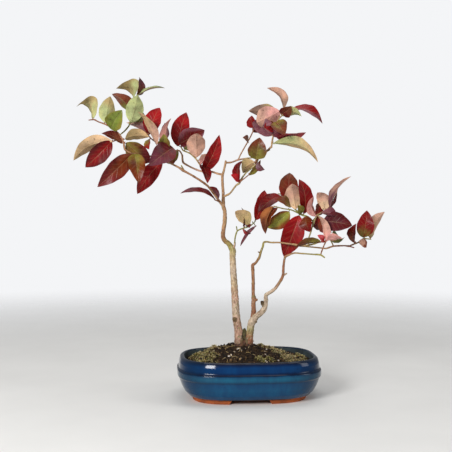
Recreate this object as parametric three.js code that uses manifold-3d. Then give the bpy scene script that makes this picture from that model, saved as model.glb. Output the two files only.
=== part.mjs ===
// A blueberry bush trained as a small bonsai with two slender stems, in a glazed oval pot.
// Millimetres, +Z up. The pot's length lies along X, its front faces -Y and its feet stand on z = 0.
import * as THREE from 'three';
import { mergeVertices } from 'three/addons/utils/BufferGeometryUtils.js';
import Module from 'manifold-3d';

const wasm = await Module();
wasm.setup();

const UP = new THREE.Vector3(0, 0, 1);
const CLEARANCE = 0.3; // between pieces that touch

// The pot. Its footprint is a rounded oblong: a superellipse of the given bluntness.
const POT = {
  halfLength: 77.5,
  halfDepth: 60,
  bluntness: 3,
  sides: 44,
  footHeight: 4.5,
  floorTop: 10,
  // The outside from the bottom edge up to the lip: height, and how far inside the widest line.
  outside: [
    [4.5, 14.5], [5.2, 12], [10, 7.5], [16, 4.4], [24.4, 1.5], [25.4, 0.3], [31.8, 0], [33.6, 1.8],
    [39.5, 2.4], [43.6, 4], [45, 6.4],
  ],
  // The hollow from its floor up to the mouth.
  inside: [[10, 20], [13, 15.5], [24, 12], [36, 10.2], [46, 8.4]],
};

// The rim under the pot, and the gaps that leave its corners as feet: the long sides' a little to the left.
const FEET = { outer: 16, inner: 27, spanX: 23, middleX: -2.5, spanY: 15, slant: 4.5 };
const DRAIN = { across: 34, radius: 8, sides: 16 };
const SCREEN = { side: 24, thickness: 1, holes: 3, bar: 1.6 };

// The soil: a low mound, highest round the stems.
const SOIL = {
  top: 55.5,
  edge: 38.5,
  peakX: -8,
  peakY: 2,
  fall: 1.7,
  steepness: 1.15,
  rightDrop: 0.18,
  rings: [0.88, 0.7, 0.5, 0.3],
};
const LUMPS = { height: 0.6, coarse: 0.21, fine: 0.34 };
// The root crown, where both stems grow together. It stands in a plain hole in the soil.
const CROWN = {
  x: -4.5,
  y: 0,
  sides: 10,
  // Height, half width along X and half width along Y.
  sections: [[40, 6, 5], [48, 10, 6.5], [54.5, 12.5, 7.5], [57.5, 9, 5]],
};

// The plant was measured from its front: across and up as they appear on the upright plane
// through the pot's middle, and depth behind that plane. The pot stands turned a little in that view.
const VIEWPOINT = { across: -24.2, up: 184.5, distance: 820, turn: THREE.MathUtils.degToRad(5) };

const BARK = { color: 0x8d6748, roughness: 0.85 };
const RED = { color: 0x8a1c22, roughness: 0.5 };
const RUST = { color: 0x9a4a2a, roughness: 0.5 };
const PINK = { color: 0xb5756c, roughness: 0.55 };
const MAROON = { color: 0x5c1f26, roughness: 0.45 };
const GREEN = { color: 0x9aa060, roughness: 0.55 };
const TAN = { color: 0xb2946c, roughness: 0.6 };

const TWIG_SIDES = 5;
// How far in from a twig's end a leaf may be rooted: a distance, or a share of a short stretch.
const ROOT_INSET = { distance: 1.1, share: 0.4 };
const BLADE = {
  thickness: 0.8, stations: [0, 0.14, 0.35, 0.58, 0.82], stalk: 1.1, fold: 16, baseDepth: 0.12,
  // The outline's fullness near the base and at its widest, and the ripple of its edges.
  low: 0.82, full: 0.86, ripple: 0.07, ripples: 1.6,
};

// A place in space for a reading taken from the front.
function place(across, up, depth) {
  const spread = (VIEWPOINT.distance + depth) / VIEWPOINT.distance;
  const x = VIEWPOINT.across + (across - VIEWPOINT.across) * spread;
  const z = VIEWPOINT.up + (up - VIEWPOINT.up) * spread;
  return new THREE.Vector3(x, depth, z).applyAxisAngle(UP, -VIEWPOINT.turn);
}

// The way from the plant to the place it was measured from.
const FRONT = new THREE.Vector3(0, -1, 0).applyAxisAngle(UP, -VIEWPOINT.turn);

// A closed solid from a geometry, its faces turned outwards.
function solid(geometry) {
  const bare = geometry.clone();
  bare.deleteAttribute('normal');
  bare.deleteAttribute('uv');
  const merged = mergeVertices(bare, 1e-4);
  const mesh = new wasm.Mesh({
    numProp: 3,
    vertProperties: new Float32Array(merged.attributes.position.array),
    triVerts: new Uint32Array(merged.index.array),
  });
  return new wasm.Manifold(mesh);
}

function geometryOf(body) {
  const mesh = body.getMesh();
  const geometry = new THREE.BufferGeometry();
  geometry.setAttribute('position', new THREE.BufferAttribute(new Float32Array(mesh.vertProperties), 3));
  geometry.setIndex(new THREE.BufferAttribute(new Uint32Array(mesh.triVerts), 1));
  geometry.computeVertexNormals();
  return geometry;
}

function indexed(points, triangles) {
  const geometry = new THREE.BufferGeometry();
  geometry.setAttribute('position', new THREE.Float32BufferAttribute(points.flatMap((p) => p.toArray()), 3));
  const volume = triangles
    .reduce((sum, [a, b, c]) => sum + points[a].dot(points[b].clone().cross(points[c])), 0);
  const outward = volume > 0 ? triangles : triangles.map(([a, b, c]) => [a, c, b]);
  geometry.setIndex(outward.flat());
  return geometry;
}

// A closed skin through rings of points, with flat ends.
function loft(rings) {
  const count = rings[0].length;
  const triangles = [];
  for (let i = 0; i < rings.length - 1; i += 1) {
    for (let j = 0; j < count; j += 1) {
      const a = i * count + j;
      const b = i * count + ((j + 1) % count);
      triangles.push([a, b, b + count], [a, b + count, a + count]);
    }
  }
  const last = (rings.length - 1) * count;
  for (let j = 1; j < count - 1; j += 1) {
    triangles.push([0, j + 1, j], [last, last + j, last + j + 1]);
  }
  return indexed(rings.flat(), triangles);
}

// A ring of the pot's footprint, drawn in by a distance at a height.
function potRing(inset, z, extra = 0) {
  const a = POT.halfLength - inset - extra;
  const b = POT.halfDepth - inset - extra;
  return Array.from({ length: POT.sides }, (_, i) => {
    const angle = (2 * Math.PI * (i + 0.5)) / POT.sides;
    const c = Math.cos(angle);
    const s = Math.sin(angle);
    const power = 2 / POT.bluntness;
    return new THREE.Vector3(
      a * Math.sign(c) * Math.abs(c) ** power, b * Math.sign(s) * Math.abs(s) ** power, z,
    );
  });
}

function box(width, depth, height, x, y, z) {
  return solid(new THREE.BoxGeometry(width, depth, height).translate(x, y, z));
}

function drainPlaces() {
  return [-DRAIN.across, DRAIN.across];
}

function makePot() {
  const shell = solid(loft(POT.outside.map(([z, inset]) => potRing(inset, z))));
  const hollow = solid(loft(POT.inside.map(([z, inset]) => potRing(inset, z))));
  // Four corner feet, left when a wide gap is cut through a low rim along each side.
  const rim = solid(loft([potRing(FEET.outer, 0), potRing(FEET.outer - 1, POT.footHeight + 1)]));
  const core = solid(loft([potRing(FEET.inner, -1), potRing(FEET.inner, POT.footHeight + 2)]));
  const gap = (span, length) => {
    const crest = span - FEET.slant;
    const outline = new THREE.Shape([
      new THREE.Vector2(-span, -1), new THREE.Vector2(span, -1),
      new THREE.Vector2(crest, POT.footHeight), new THREE.Vector2(-crest, POT.footHeight),
    ]);
    return new THREE.ExtrudeGeometry(outline, { depth: length, bevelEnabled: false })
      .translate(0, 0, -length / 2).rotateX(Math.PI / 2);
  };
  const feet = rim.subtract(core)
    .subtract(solid(gap(FEET.spanX, 2 * POT.halfDepth).translate(FEET.middleX, 0, 0)))
    .subtract(solid(gap(FEET.spanY, 2 * POT.halfLength).rotateZ(Math.PI / 2)));
  let pot = shell.add(feet).subtract(hollow);
  for (const x of drainPlaces()) {
    const hole = new THREE.CylinderGeometry(DRAIN.radius, DRAIN.radius, 30, DRAIN.sides).rotateX(Math.PI / 2);
    pot = pot.subtract(solid(hole.translate(x, 0, POT.floorTop)));
  }
  return pot;
}

// A square of plastic mesh that keeps the soil in over a drain hole.
function makeScreen(x) {
  const z = POT.floorTop + CLEARANCE + SCREEN.thickness / 2;
  const pitch = (SCREEN.side - SCREEN.bar) / SCREEN.holes;
  let plate = box(SCREEN.side, SCREEN.side, SCREEN.thickness, x, 0, z);
  for (let i = 0; i < SCREEN.holes; i += 1) {
    for (let j = 0; j < SCREEN.holes; j += 1) {
      const [u, v] = [i, j].map((n) => (n - (SCREEN.holes - 1) / 2) * pitch);
      plate = plate.subtract(box(pitch - SCREEN.bar, pitch - SCREEN.bar, 4 * SCREEN.thickness, x + u, v, z));
    }
  }
  return plate;
}

// The inside of the pot at a height, as an inset from its widest line.
function hollowInset(z) {
  const rows = POT.inside;
  const i = Math.max(1, rows.findIndex(([height]) => height >= z));
  const [z0, inset0] = rows[i - 1];
  const [z1, inset1] = rows[i];
  return inset0 + ((inset1 - inset0) * (z - z0)) / (z1 - z0);
}

// The mound's height at a place, where share is 1 at the pot's wall and 0 at the peak.
function soilHeight(x, y, share) {
  const inset = hollowInset(SOIL.edge);
  const inward = 1 - share;
  const reach = Math.min(1, Math.hypot(
    (x - SOIL.peakX * inward) / (POT.halfLength - inset), (y - SOIL.peakY * inward) / (POT.halfDepth - inset),
  ));
  const swell = (1 - reach ** SOIL.fall) ** SOIL.steepness;
  const side = 1 - SOIL.rightDrop * reach * Math.min(1, Math.max(0, x / CROWN.sections[2][1]));
  const lumps = Math.sin(x * LUMPS.coarse + 1) * Math.cos(y * LUMPS.coarse)
    + Math.sin((x - y) * LUMPS.fine) / 2;
  return SOIL.edge + (SOIL.top - SOIL.edge) * swell * side + LUMPS.height * lumps * inward;
}

function crownRing(z, a, b) {
  return Array.from({ length: CROWN.sides }, (_, i) => {
    const angle = (2 * Math.PI * i) / CROWN.sides;
    return new THREE.Vector3(CROWN.x + a * Math.cos(angle), CROWN.y + b * Math.sin(angle), z);
  });
}

function makeCrown() {
  return solid(loft(CROWN.sections.map(([z, a, b]) => crownRing(z, a, b))));
}

// The hole in the soil for the root crown: wider by the clearance, and straight up from its widest section.
function makeCrownHole() {
  const rings = CROWN.sections.slice(0, -1)
    .map(([z, a, b], row) => crownRing(row ? z : z - CLEARANCE, a + CLEARANCE, b + CLEARANCE));
  const mouth = rings.at(-1).map((p) => new THREE.Vector3(p.x, p.y, 2 * SOIL.top));
  return solid(loft([...rings, mouth]));
}

function makeSoil() {
  const bottom = POT.floorTop + CLEARANCE;
  const inset = hollowInset(SOIL.edge);
  const rings = [potRing(hollowInset(bottom), bottom, 2 * CLEARANCE)];
  for (const [z, wall] of POT.inside.slice(1, 4)) rings.push(potRing(wall, z, CLEARANCE));
  const edge = potRing(inset, SOIL.edge, CLEARANCE);
  rings.push(edge);
  for (const share of SOIL.rings) {
    rings.push(edge.map((p) => {
      const x = p.x * share + SOIL.peakX * (1 - share);
      const y = p.y * share + SOIL.peakY * (1 - share);
      return new THREE.Vector3(x, y, soilHeight(x, y, share));
    }));
  }
  let soil = solid(loft(rings));
  for (const x of drainPlaces()) {
    const room = SCREEN.side + 2 * CLEARANCE;
    soil = soil.subtract(box(room, room, 2 * (SCREEN.thickness + CLEARANCE), x, 0, bottom));
  }
  return soil.subtract(makeCrownHole());
}

// A tapered round limb through readings of [across, up, depth, radius].
function limb(readings, sides, grow = 0) {
  const path = readings.map(([across, up, depth]) => place(across, up, depth));
  const tangents = path.map((p, i) => {
    const next = path[Math.min(i + 1, path.length - 1)];
    return next.clone().sub(path[Math.max(i - 1, 0)]).normalize();
  });
  let across = new THREE.Vector3(0, 1, 0).cross(tangents[0]).normalize();
  const rings = path.map((centre, i) => {
    across = across.clone().addScaledVector(tangents[i], -across.dot(tangents[i])).normalize();
    const other = tangents[i].clone().cross(across);
    const radius = readings[i][3] + grow;
    return Array.from({ length: sides }, (_, j) => {
      const angle = (2 * Math.PI * j) / sides;
      return centre.clone()
        .addScaledVector(across, radius * Math.cos(angle)).addScaledVector(other, radius * Math.sin(angle));
    });
  });
  return solid(loft(rings));
}

// The bare wood, from the root crown to the places where the leafy shoots start.
const WOOD = {
  leftStem: [8,
    [-9.6, 51, 0, 4.6], [-10, 57, 0, 5.2], [-10.3, 63, 0, 4.7], [-10.6, 70, -0.5, 4.5],
    [-12, 78, -1, 4.3], [-13.4, 90, -1, 4.1], [-14, 100, -0.5, 3.9], [-14.7, 112, 0, 3.8],
    [-15.5, 125, 1, 3.6], [-16.5, 140, 2, 3.4], [-17, 150, 3, 3.3], [-17, 158, 3.5, 3.6],
    [-21, 165, 4, 2.8], [-26, 169, 4.5, 2.5], [-27.5, 174, 5, 2.3], [-27, 180, 5, 2.2],
    [-25.5, 190, 5.5, 2.3], [-25.5, 200, 6, 2.1], [-27, 206, 6, 2.1], [-27.3, 220, 5.5, 1.6],
    [-28, 232, 5, 1.5], [-28, 240, 4.5, 1.5], [-26.5, 245, 4, 1.2], [-25, 252, 3.5, 1.2],
    [-24.5, 255.5, 3.5, 1.1]],
  leftKnot: [7, [-13.4, 82.5, -1.5, 3.2], [-14.6, 82.8, -4.4, 3.1], [-15.2, 83, -5.6, 1.9]],
  cleft: [6, [-4.2, 51, 0.5, 4.6], [-4.2, 60, 0.3, 3.9], [-4.2, 67, 0.2, 3.2], [-4, 72.5, 0, 1.3]],
  forkStub: [5, [-17, 156, 3.5, 1.6], [-14.8, 164, 1.5, 1.2], [-14.6, 167, 1, 1.0]],
  lowLeftBranch: [6,
    [-27, 206, 6, 1.8], [-31, 211, 3, 1.4], [-37, 219, -2, 1.2], [-44, 228, -7, 1.2],
    [-52, 234, -11, 1.2], [-60, 239, -13, 1.1], [-68, 243.5, -14, 1.2], [-70.5, 244.8, -14, 1.5],
    [-76, 248.5, -13, 1.1], [-85, 253, -11, 1.0], [-94, 257, -8, 1.0]],
  lowLeftSpur: [5, [-70, 244.8, -14, 1.0], [-73, 250.5, -16, 0.7]],
  highLeftBranch: [6,
    [-28, 240.5, 4.5, 1.4], [-33, 241.5, 7, 1.1], [-39, 243.5, 10, 1.1], [-47, 243.5, 13, 1.2],
    [-54, 245, 16, 1.1], [-60, 247.5, 18, 1.0], [-66, 250.5, 20, 1.0], [-71, 254, 21, 1.2],
    [-72, 262, 20, 1.0]],
  highRightBranch: [6,
    [-24.7, 253.5, 3.5, 1.1], [-18, 254, 6, 0.9], [-11, 256.7, 8.5, 1.0], [0, 258.5, 13, 0.8],
    [5, 259, 15, 0.7]],
  middleBranch: [6,
    [-27, 216.5, 5.6, 1.3], [-20, 220, 1, 1.0], [-13, 229, -4, 1.0], [-10, 231, -5.5, 1.3],
    [-6, 238, -8, 0.9], [-2, 243, -10, 0.9], [8, 252, -14, 1.1], [12, 260, -16, 0.9],
    [17, 264, -17.5, 0.9], [22, 268, -19, 0.9], [25.5, 271, -20, 1.3]],
  middleStub: [5, [23.5, 267.8, -19, 0.8], [20, 265.3, -20.5, 0.6]],
  rightStem: [8,
    [0.6, 51, 0, 4.2], [0.8, 57, -1, 4.6], [1.2, 64, -1.2, 4.2], [2.3, 71, -1.5, 3.9], [3.2, 77, -2, 3.9],
    [5.5, 82.5, -2.2, 4.0], [9.5, 86.5, -3.4, 3.3], [13.6, 89.5, -5, 3.0], [17.4, 94, -6.4, 2.9],
    [19.2, 99.5, -7.4, 2.4]],
  rightStub: [5, [4.5, 80.3, -2, 2.4], [9.2, 79.8, -4.5, 1.0]],
  cutKnob: [6, [17.5, 97, -7, 2.4], [15.4, 101, -8, 2.3], [14.6, 102, -8.4, 1.5]],
  innerStem: [6,
    [5.2, 84, -2, 2.9], [6, 92, -1, 2.6], [5.7, 100, 0, 2.4], [6.2, 105, 1, 2.6], [5.5, 110, 1.5, 1.9],
    [5.5, 125, 2.5, 1.8], [5, 138, 3, 1.8], [5, 142, 3, 1.9], [8, 144, 2.5, 1.4], [12, 150, 1.8, 1.4],
    [14, 157, 1, 1.3], [16, 162, 0.5, 1.1], [17, 166.5, 0, 1.2], [20, 167.3, -0.5, 1.0],
    [25, 166.5, -1, 0.9], [34, 166.5, -2, 0.9], [45, 165, -4, 0.9], [50, 164.5, -5, 1.1],
    [60, 163, -6, 0.9], [68, 164, -7, 0.9], [75, 166, -8, 0.9]],
  innerStub: [5, [6, 103, 1, 2.1], [9.6, 104.3, 0, 1.4]],
  innerBud: [5, [13.6, 155, 1, 0.9], [10.8, 156.3, 0, 0.6]],
  outerStem: [6,
    [18.6, 96, -7.2, 2.4], [19.4, 103, -8, 2.3], [19.4, 109, -8.5, 2.1], [26, 113.4, -10, 1.8],
    [30, 117, -11, 1.7], [36, 126, -13, 1.5], [38, 131, -14.3, 1.6], [38.5, 140, -15, 1.3],
    [39.5, 148, -16, 1.2], [40.5, 151, -17, 1.4], [44, 152.7, -18, 1.0], [50, 155, -20, 0.9],
    [58, 154.5, -22, 0.8], [72, 153.5, -26, 0.8], [79, 153, -27, 1.0], [83.5, 150, -29, 0.7]],
  outerStub: [5, [38, 130.5, -14, 1.2], [42, 132.8, -15.5, 0.8]],
  lowRightTwig: [6,
    [49, 164.6, -5, 1.1], [54, 163, -3.5, 0.9], [62, 162.3, -1.5, 0.8], [80, 160.5, 3, 0.8],
    [85, 160, 4, 0.9], [93, 162.5, 7, 1.0], [105, 163, 11, 0.8], [110, 162.5, 13, 1.1]],
  lowRightBud: [5, [110, 162.5, 13, 0.8], [115.5, 160.8, 15, 0.6]],
  yellowTwig: [6,
    [66, 163.8, -6.7, 1.0], [66, 171, -6, 0.8], [68, 177, -5, 0.8], [70, 184, -4, 0.8],
    [72, 190, -3, 1.1]],
};

// Each leafy shoot. Twigs are limbs of [across, up, depth, radius], the first starting on the wood.
// Leaves are [base across, base up, tip across, tip up, tip depth from base, width, face, roll, arch, place].
// face 1 shows the upper side to the front and -1 the underside. roll turns that side to the leaf's right,
// in degrees, and arch is how far the blade bulges to its upper side, most at that place along it.
const SHOOTS = {
  shoot_left_leader: {
    finish: RUST,
    twigs: [
      [[-94, 257, -8, 0.8], [-104, 260, -8, 0.9], [-118, 262.5, -15, 0.9], [-128, 264, -24, 0.9],
        [-134.5, 268, -26, 1.0], [-136, 276, -25, 0.9], [-140, 284, -24, 0.9], [-148, 291, -22, 0.8],
        [-156, 295.5, -20, 0.8], [-163, 298, -18.5, 0.7], [-168, 300.5, -18, 0.8], [-174, 300, -17, 0.5]],
      [[-138.5, 281, -24.5, 0.7], [-143, 278.5, -26, 0.7], [-148, 276.7, -28, 0.7]],
    ],
    leaves: [
      [-94, 255.5, -121, 219.5, 8, 20, 1, 10, 5],
      [-127.5, 262.5, -164.5, 227, -12, 21, 1, -14, 6],
      [-124, 263, -119.5, 231, -20, 19, 1, -14, 5],
      [-133, 275.5, -107, 254, 18, 22, 1, 12, 4],
      [-134, 280, -108, 281.5, 12, 17, -1, 48, 4],
      [-137.5, 274.5, -160, 285.5, -4, 15, 1, 50, 3],
      [-148, 276.5, -190.5, 256, -10, 20, -1, -46, 11],
      [-149, 277, -177.5, 248.5, 4, 20, 1, -14, 6],
      [-168.5, 302, -187, 315, -6, 22, -1, -50, 14, 0.6],
      [-155.5, 297, -150.5, 326, -4, 18, -1, 18, 4],
      [-150, 290.5, -137.5, 311, -14, 20, 1, 0, 3],
    ],
  },
  shoot_left_crown: {
    finish: GREEN,
    seat: 'shoot_left_leader',
    twigs: [
      [[-140, 284, -24, 0.6], [-135, 288, -18, 0.8], [-130, 294, -11, 0.8], [-128, 302, -4, 0.8],
        [-125.5, 313, 3, 0.7], [-122, 325, 8, 0.7], [-120.5, 329, 9, 0.5]],
    ],
    leaves: [
      [-128, 308, -148.5, 328.5, 6, 18, 1, 40, 5],
      [-127.5, 297, -120.5, 327, -14, 20, -1, 8, 4],
      [-125.5, 322, -144, 334.5, 3, 24, -1, -46, 16, 0.56],
      [-121, 327, -119, 347, 7, 15, 1, 64, 3],
      [-120, 327, -91, 335, 2, 15, 1, -70, 3],
      [-127.5, 300.5, -112.5, 305, 22, 12, 1, 10, 3],
    ],
  },
  shoot_left_inner: {
    finish: MAROON,
    twigs: [
      [[-72, 262, 20, 0.8], [-75, 266.5, 10, 0.9], [-82, 267, -2, 0.8], [-90, 269, -4, 0.8],
        [-99, 275, -3, 0.8],
        [-106, 280, -3, 0.7], [-112, 287, -4, 0.7]],
    ],
    leaves: [
      [-100, 273, -120, 309, -28, 15, -1, -50, 4],
      [-108, 284.5, -96.5, 313.5, 6, 21, 1, -14, 4],
      [-97, 276, -90.5, 297, 22, 13, 1, 48, 3],
      [-88.5, 269, -84, 302, -14, 15, -1, 64, 5],
      [-93, 270, -92, 285, -14, 14, 1, 18, 3],
      [-107, 280, -108, 268, -14, 12, 1, 45, 2],
      [-112, 287, -133, 297, 8, 15, 1, 52, 3],
      [-108, 284, -117, 299, 20, 12, 1, 12, 3],
      [-82, 270, -108.5, 250, -26, 24, 1, 0, 5],
      [-76, 265, -96, 257, -8, 16, 1, -46, 3],
    ],
  },
  shoot_left_back: {
    finish: RED,
    twigs: [
      [[-47, 243.5, 13, 0.8], [-53, 252, 17, 0.9], [-58, 259, 21, 0.9], [-64, 264, 25, 0.8],
        [-71, 267, 30, 0.8],
        [-73.5, 271, 32, 0.6]],
      [[-55, 255, 18.5, 0.6], [-51.5, 259.5, 16, 0.5]],
    ],
    leaves: [
      [-77, 271.5, -67.5, 308.5, 8, 22, 1, -12, 4],
      [-75, 274, -47.5, 289, -6, 24, 1, 6, 5],
      [-56, 259.5, -56.5, 285.5, -20, 22, -1, 8, 4],
      [-48.5, 245, -31.5, 284, -16, 18, 1, 28, 5],
      [-51, 251, -44.5, 231, -30, 14, 1, -40, 3],
      [-52, 252, -38, 261, -16, 13, -1, 56, 3],
      [-69, 268, -63.5, 273.5, -12, 7, 1, 35, 1],
    ],
  },
  shoot_left_low: {
    finish: MAROON,
    twigs: [[[-31, 211, 3, 0.8], [-33.5, 212, -2, 0.9], [-36.5, 213, -6, 0.6]]],
    leaves: [
      [-36, 213.5, -74, 220, -10, 16, 1, 66, 6],
      [-32.5, 214, -42, 227.5, -8, 11, 1, 58, 2],
    ],
  },
  shoot_middle_low: {
    finish: RED,
    twigs: [[[-10, 231, -5.5, 0.7], [-8, 233.5, -9, 0.8], [-4, 236.5, -11, 0.6], [2, 241.5, -13, 0.5]]],
    leaves: [
      [-9.5, 234, -5, 256, 4, 16, 1, -58, 5],
      [-9.5, 233.5, -19, 240.5, -8, 9, 1, 30, 1],
      [0.5, 240, 13.5, 256.5, 10, 8, 1, 40, 2],
    ],
  },
  shoot_middle: {
    finish: RUST,
    twigs: [[[8, 252, -14, 0.8], [8.5, 254.5, -17, 1.0], [8.5, 257, -19.5, 0.7]]],
    leaves: [
      [8, 257.5, 12.5, 281, -8, 21, 1, 0, 5],
      [7, 254, -6, 243, -10, 16, -1, -42, 4],
      [9.5, 253, 18, 246, -6, 10, 1, 48, 2],
    ],
  },
  shoot_high_right: {
    finish: MAROON,
    twigs: [[[-11, 256.7, 8.5, 0.7], [-8, 263, 10, 0.7], [-3, 272, 13, 0.7], [0, 277, 15, 0.7],
      [4, 285, 17, 0.7], [7, 292, 18, 0.6]]],
    leaves: [
      [-0.5, 276.5, -6, 281, -10, 10, 1, 40, 2],
      [6.5, 291.5, 4, 305, -6, 13, 1, -30, 3],
      [5, 287, 13, 299, 14, 15, 1, 20, 3],
    ],
  },
  shoot_top: {
    finish: TAN,
    twigs: [
      [[25.5, 271, -20, 0.8], [26, 276, -22, 1.0], [27.5, 284, -22, 0.9], [28.5, 291, -20, 0.9],
        [31, 297, -18, 0.8],
        [34, 302, -16, 0.8], [38, 306, -14, 0.8], [43, 308.5, -12, 0.7], [46.5, 310.5, -11, 0.5]],
    ],
    leaves: [
      [27.5, 274.5, 76, 254, -12, 18, -1, 58, 12],
      [29.5, 283, 63, 286.5, 8, 15, 1, 56, 3],
      [25.5, 283, 5, 298, 8, 20, 1, 14, 5],
      [27, 283.5, 41, 289, -4, 16, 1, -30, 3],
      [27, 289, 19, 291, -12, 7, 1, 10, 1],
      [30, 298, 40, 283.5, -22, 18, 1, -6, 3],
      [28.5, 297, 17, 291.5, -5, 9, 1, 20, 1],
      [35, 309.5, 9.5, 297, -16, 25, -1, -8, 4],
      [32, 306, 0.5, 310, 8, 17, -1, -30, 4],
      [38, 311, 20.5, 335, 4, 17, -1, -64, 9],
      [36, 307, 47, 315, -8, 14, 1, 26, 3],
      [46.5, 311, 81, 296, -8, 18, 1, -48, 8],
      [37, 304.5, 58, 304, -12, 15, -1, 58, 6],
    ],
  },
  shoot_centre: {
    finish: TAN,
    twigs: [
      [[-14.8, 165, 1.2, 0.6], [-14.2, 172, -4, 0.8], [-12, 179, -6, 0.8], [-8, 181.2, -8, 0.7],
        [-5, 182, -9, 0.7],
        [1, 184, -10, 0.7], [4, 186, -8, 0.6], [8, 190, -4, 0.5]],
      [[-12, 179, -6, 0.6], [-12.8, 184, -6, 0.6]],
    ],
    leaves: [
      [1, 185.5, -14, 200.5, -8, 17, -1, -28, 4],
      [-5.5, 184, -7.5, 204.5, 9, 10, 1, 60, 3],
      [-2, 184, 3, 187, -12, 5, 1, 30, 1],
      [-6, 181, 3, 176.5, -6, 8, 1, 56, 1],
      [9, 185, -8.5, 162.5, -8, 11, 1, 70, 1],
      [8, 191, 18, 223.5, 18, 17, 1, 18, 4],
    ],
  },
  shoot_right_hub: {
    finish: RED,
    twigs: [
      [[71.5, 189, -3, 0.7], [66, 194, -1, 0.9], [58, 197, 0, 1.1], [52, 202, 2, 0.8], [44, 210, 5, 0.8],
        [38, 218, 8, 0.7], [32.5, 220, 9, 0.5]],
      [[57, 197.5, 0, 0.8], [47, 202, -3, 0.7], [38, 203.5, -6, 0.7], [28, 206, -9, 0.6]],
    ],
    leaves: [
      [55.5, 196, 39, 151, 10, 25, 1, 0, 6],
      [45, 200, 21, 182.5, 10, 19, 1, -14, 4],
      [32, 204, 20, 183, 2, 15, 1, 56, 4],
      [27, 206, 19, 176, -14, 17, -1, -42, 4],
      [36, 217, 11, 199, -16, 18, 1, 38, 5],
      [46, 206, 30, 213, -14, 14, 1, 40, 3],
      [44, 211, 45, 242.5, 12, 22, 1, -8, 5],
      [52, 203, 48, 230.5, -15, 20, -1, 0, 4],
      [61, 198, 55.5, 235.5, 8, 20, 1, 30, 6],
      [58, 198, 54, 207, -12, 11, 1, 26, 1],
      [63, 195, 67.5, 178, -4, 16, 1, 34, 3],
    ],
  },
  shoot_right_top: {
    finish: PINK,
    twigs: [
      [[72, 190, -3, 0.8], [75, 196, -4, 0.8], [78, 198, -4.5, 0.9], [84, 201, -5, 0.8],
        [89, 203.5, -5, 0.6]],
      [[76, 196.5, -4, 0.7], [79.5, 191, -8, 0.7], [83, 184.5, -12, 0.6]],
    ],
    leaves: [
      [74, 195, 71, 216.5, -8, 16, -1, 52, 4],
      [74.5, 196, 76, 209, 6, 13, 1, 36, 2],
      [84, 202, 75.5, 221, -4, 17, -1, -32, 5],
      [85, 202.5, 97, 229, 17, 12, 1, 70, 3],
      [89, 204.5, 112, 238.5, -8, 17, -1, 62, 5],
      [80, 199, 97, 194, -14, 15, 1, -46, 3],
      [81.5, 189.5, 113.5, 185, -10, 22, 1, -12, 5],
      [80, 192, 91, 177, -4, 16, 1, 44, 3],
      [77, 196, 75.5, 180, 17, 13, 1, 20, 2],
    ],
  },
  shoot_right_low: {
    finish: PINK,
    twigs: [[[79, 153, -27, 0.7], [81, 159, -26, 0.7], [83, 164, -25, 0.7], [85, 168, -24, 0.7]]],
    leaves: [
      [84.5, 168.5, 77.5, 195.5, 2, 15, -1, -62, 3],
      [85.5, 168.5, 103, 170.5, -6, 13, -1, 56, 2],
      [82.5, 167, 75.5, 174.5, -5, 9, 1, 40, 1],
    ],
  },
  shoot_right_middle: {
    finish: PINK,
    twigs: [[[75, 166, -8, 0.7], [80, 167.3, -9.5, 0.8], [83, 168, -10, 0.6]]],
    leaves: [[78.5, 168, 50, 160, -17, 12, -1, -52, 3]],
  },
  shoot_right_spur: {
    finish: GREEN,
    twigs: [[[93, 162.5, 7, 0.7], [91.5, 166, 5, 0.7], [89, 170, 3, 0.6]]],
    leaves: [
      [90, 170, 105, 172, 2, 10, 1, 62, 2],
      [90.5, 169, 94, 180, 8, 12, 1, 40, 2],
    ],
  },
  shoot_far_right: {
    finish: RED,
    twigs: [[[110, 162.5, 13, 0.8], [116, 165, 15, 0.9], [120, 166.5, 17, 0.8], [125.5, 170.5, 19, 0.9],
      [130, 170.5, 20, 0.7], [134, 170, 21, 0.6]]],
    leaves: [
      [125.5, 172, 129.5, 201.5, -4, 20, 1, -4, 5],
      [116, 166, 118, 187, -6, 15, 1, -60, 4],
      [133, 171, 149, 200, 4, 18, -1, 32, 6],
      [120.5, 167.5, 129, 161.5, -8, 11, -1, 44, 2],
    ],
  },
};

// The point of a shoot's twigs that lies nearest a reading, a little in from their ends, and the depth there.
function nearestOnTwigs(twigs, across, up) {
  let best = { distance: Infinity };
  for (const twig of twigs) {
    for (let i = 0; i < twig.length - 1; i += 1) {
      const [a0, u0, d0] = twig[i];
      const [a1, u1, d1] = twig[i + 1];
      const lengthSquared = (a1 - a0) ** 2 + (u1 - u0) ** 2;
      const inset = Math.min(ROOT_INSET.share, ROOT_INSET.distance / Math.sqrt(lengthSquared));
      const share = ((across - a0) * (a1 - a0) + (up - u0) * (u1 - u0)) / lengthSquared;
      const t = Math.min(1 - inset, Math.max(inset, share));
      const near = [a0 + (a1 - a0) * t, u0 + (u1 - u0) * t, d0 + (d1 - d0) * t];
      const distance = Math.hypot(near[0] - across, near[1] - up);
      if (distance < best.distance) best = { distance, near };
    }
  }
  return best.near;
}

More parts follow.
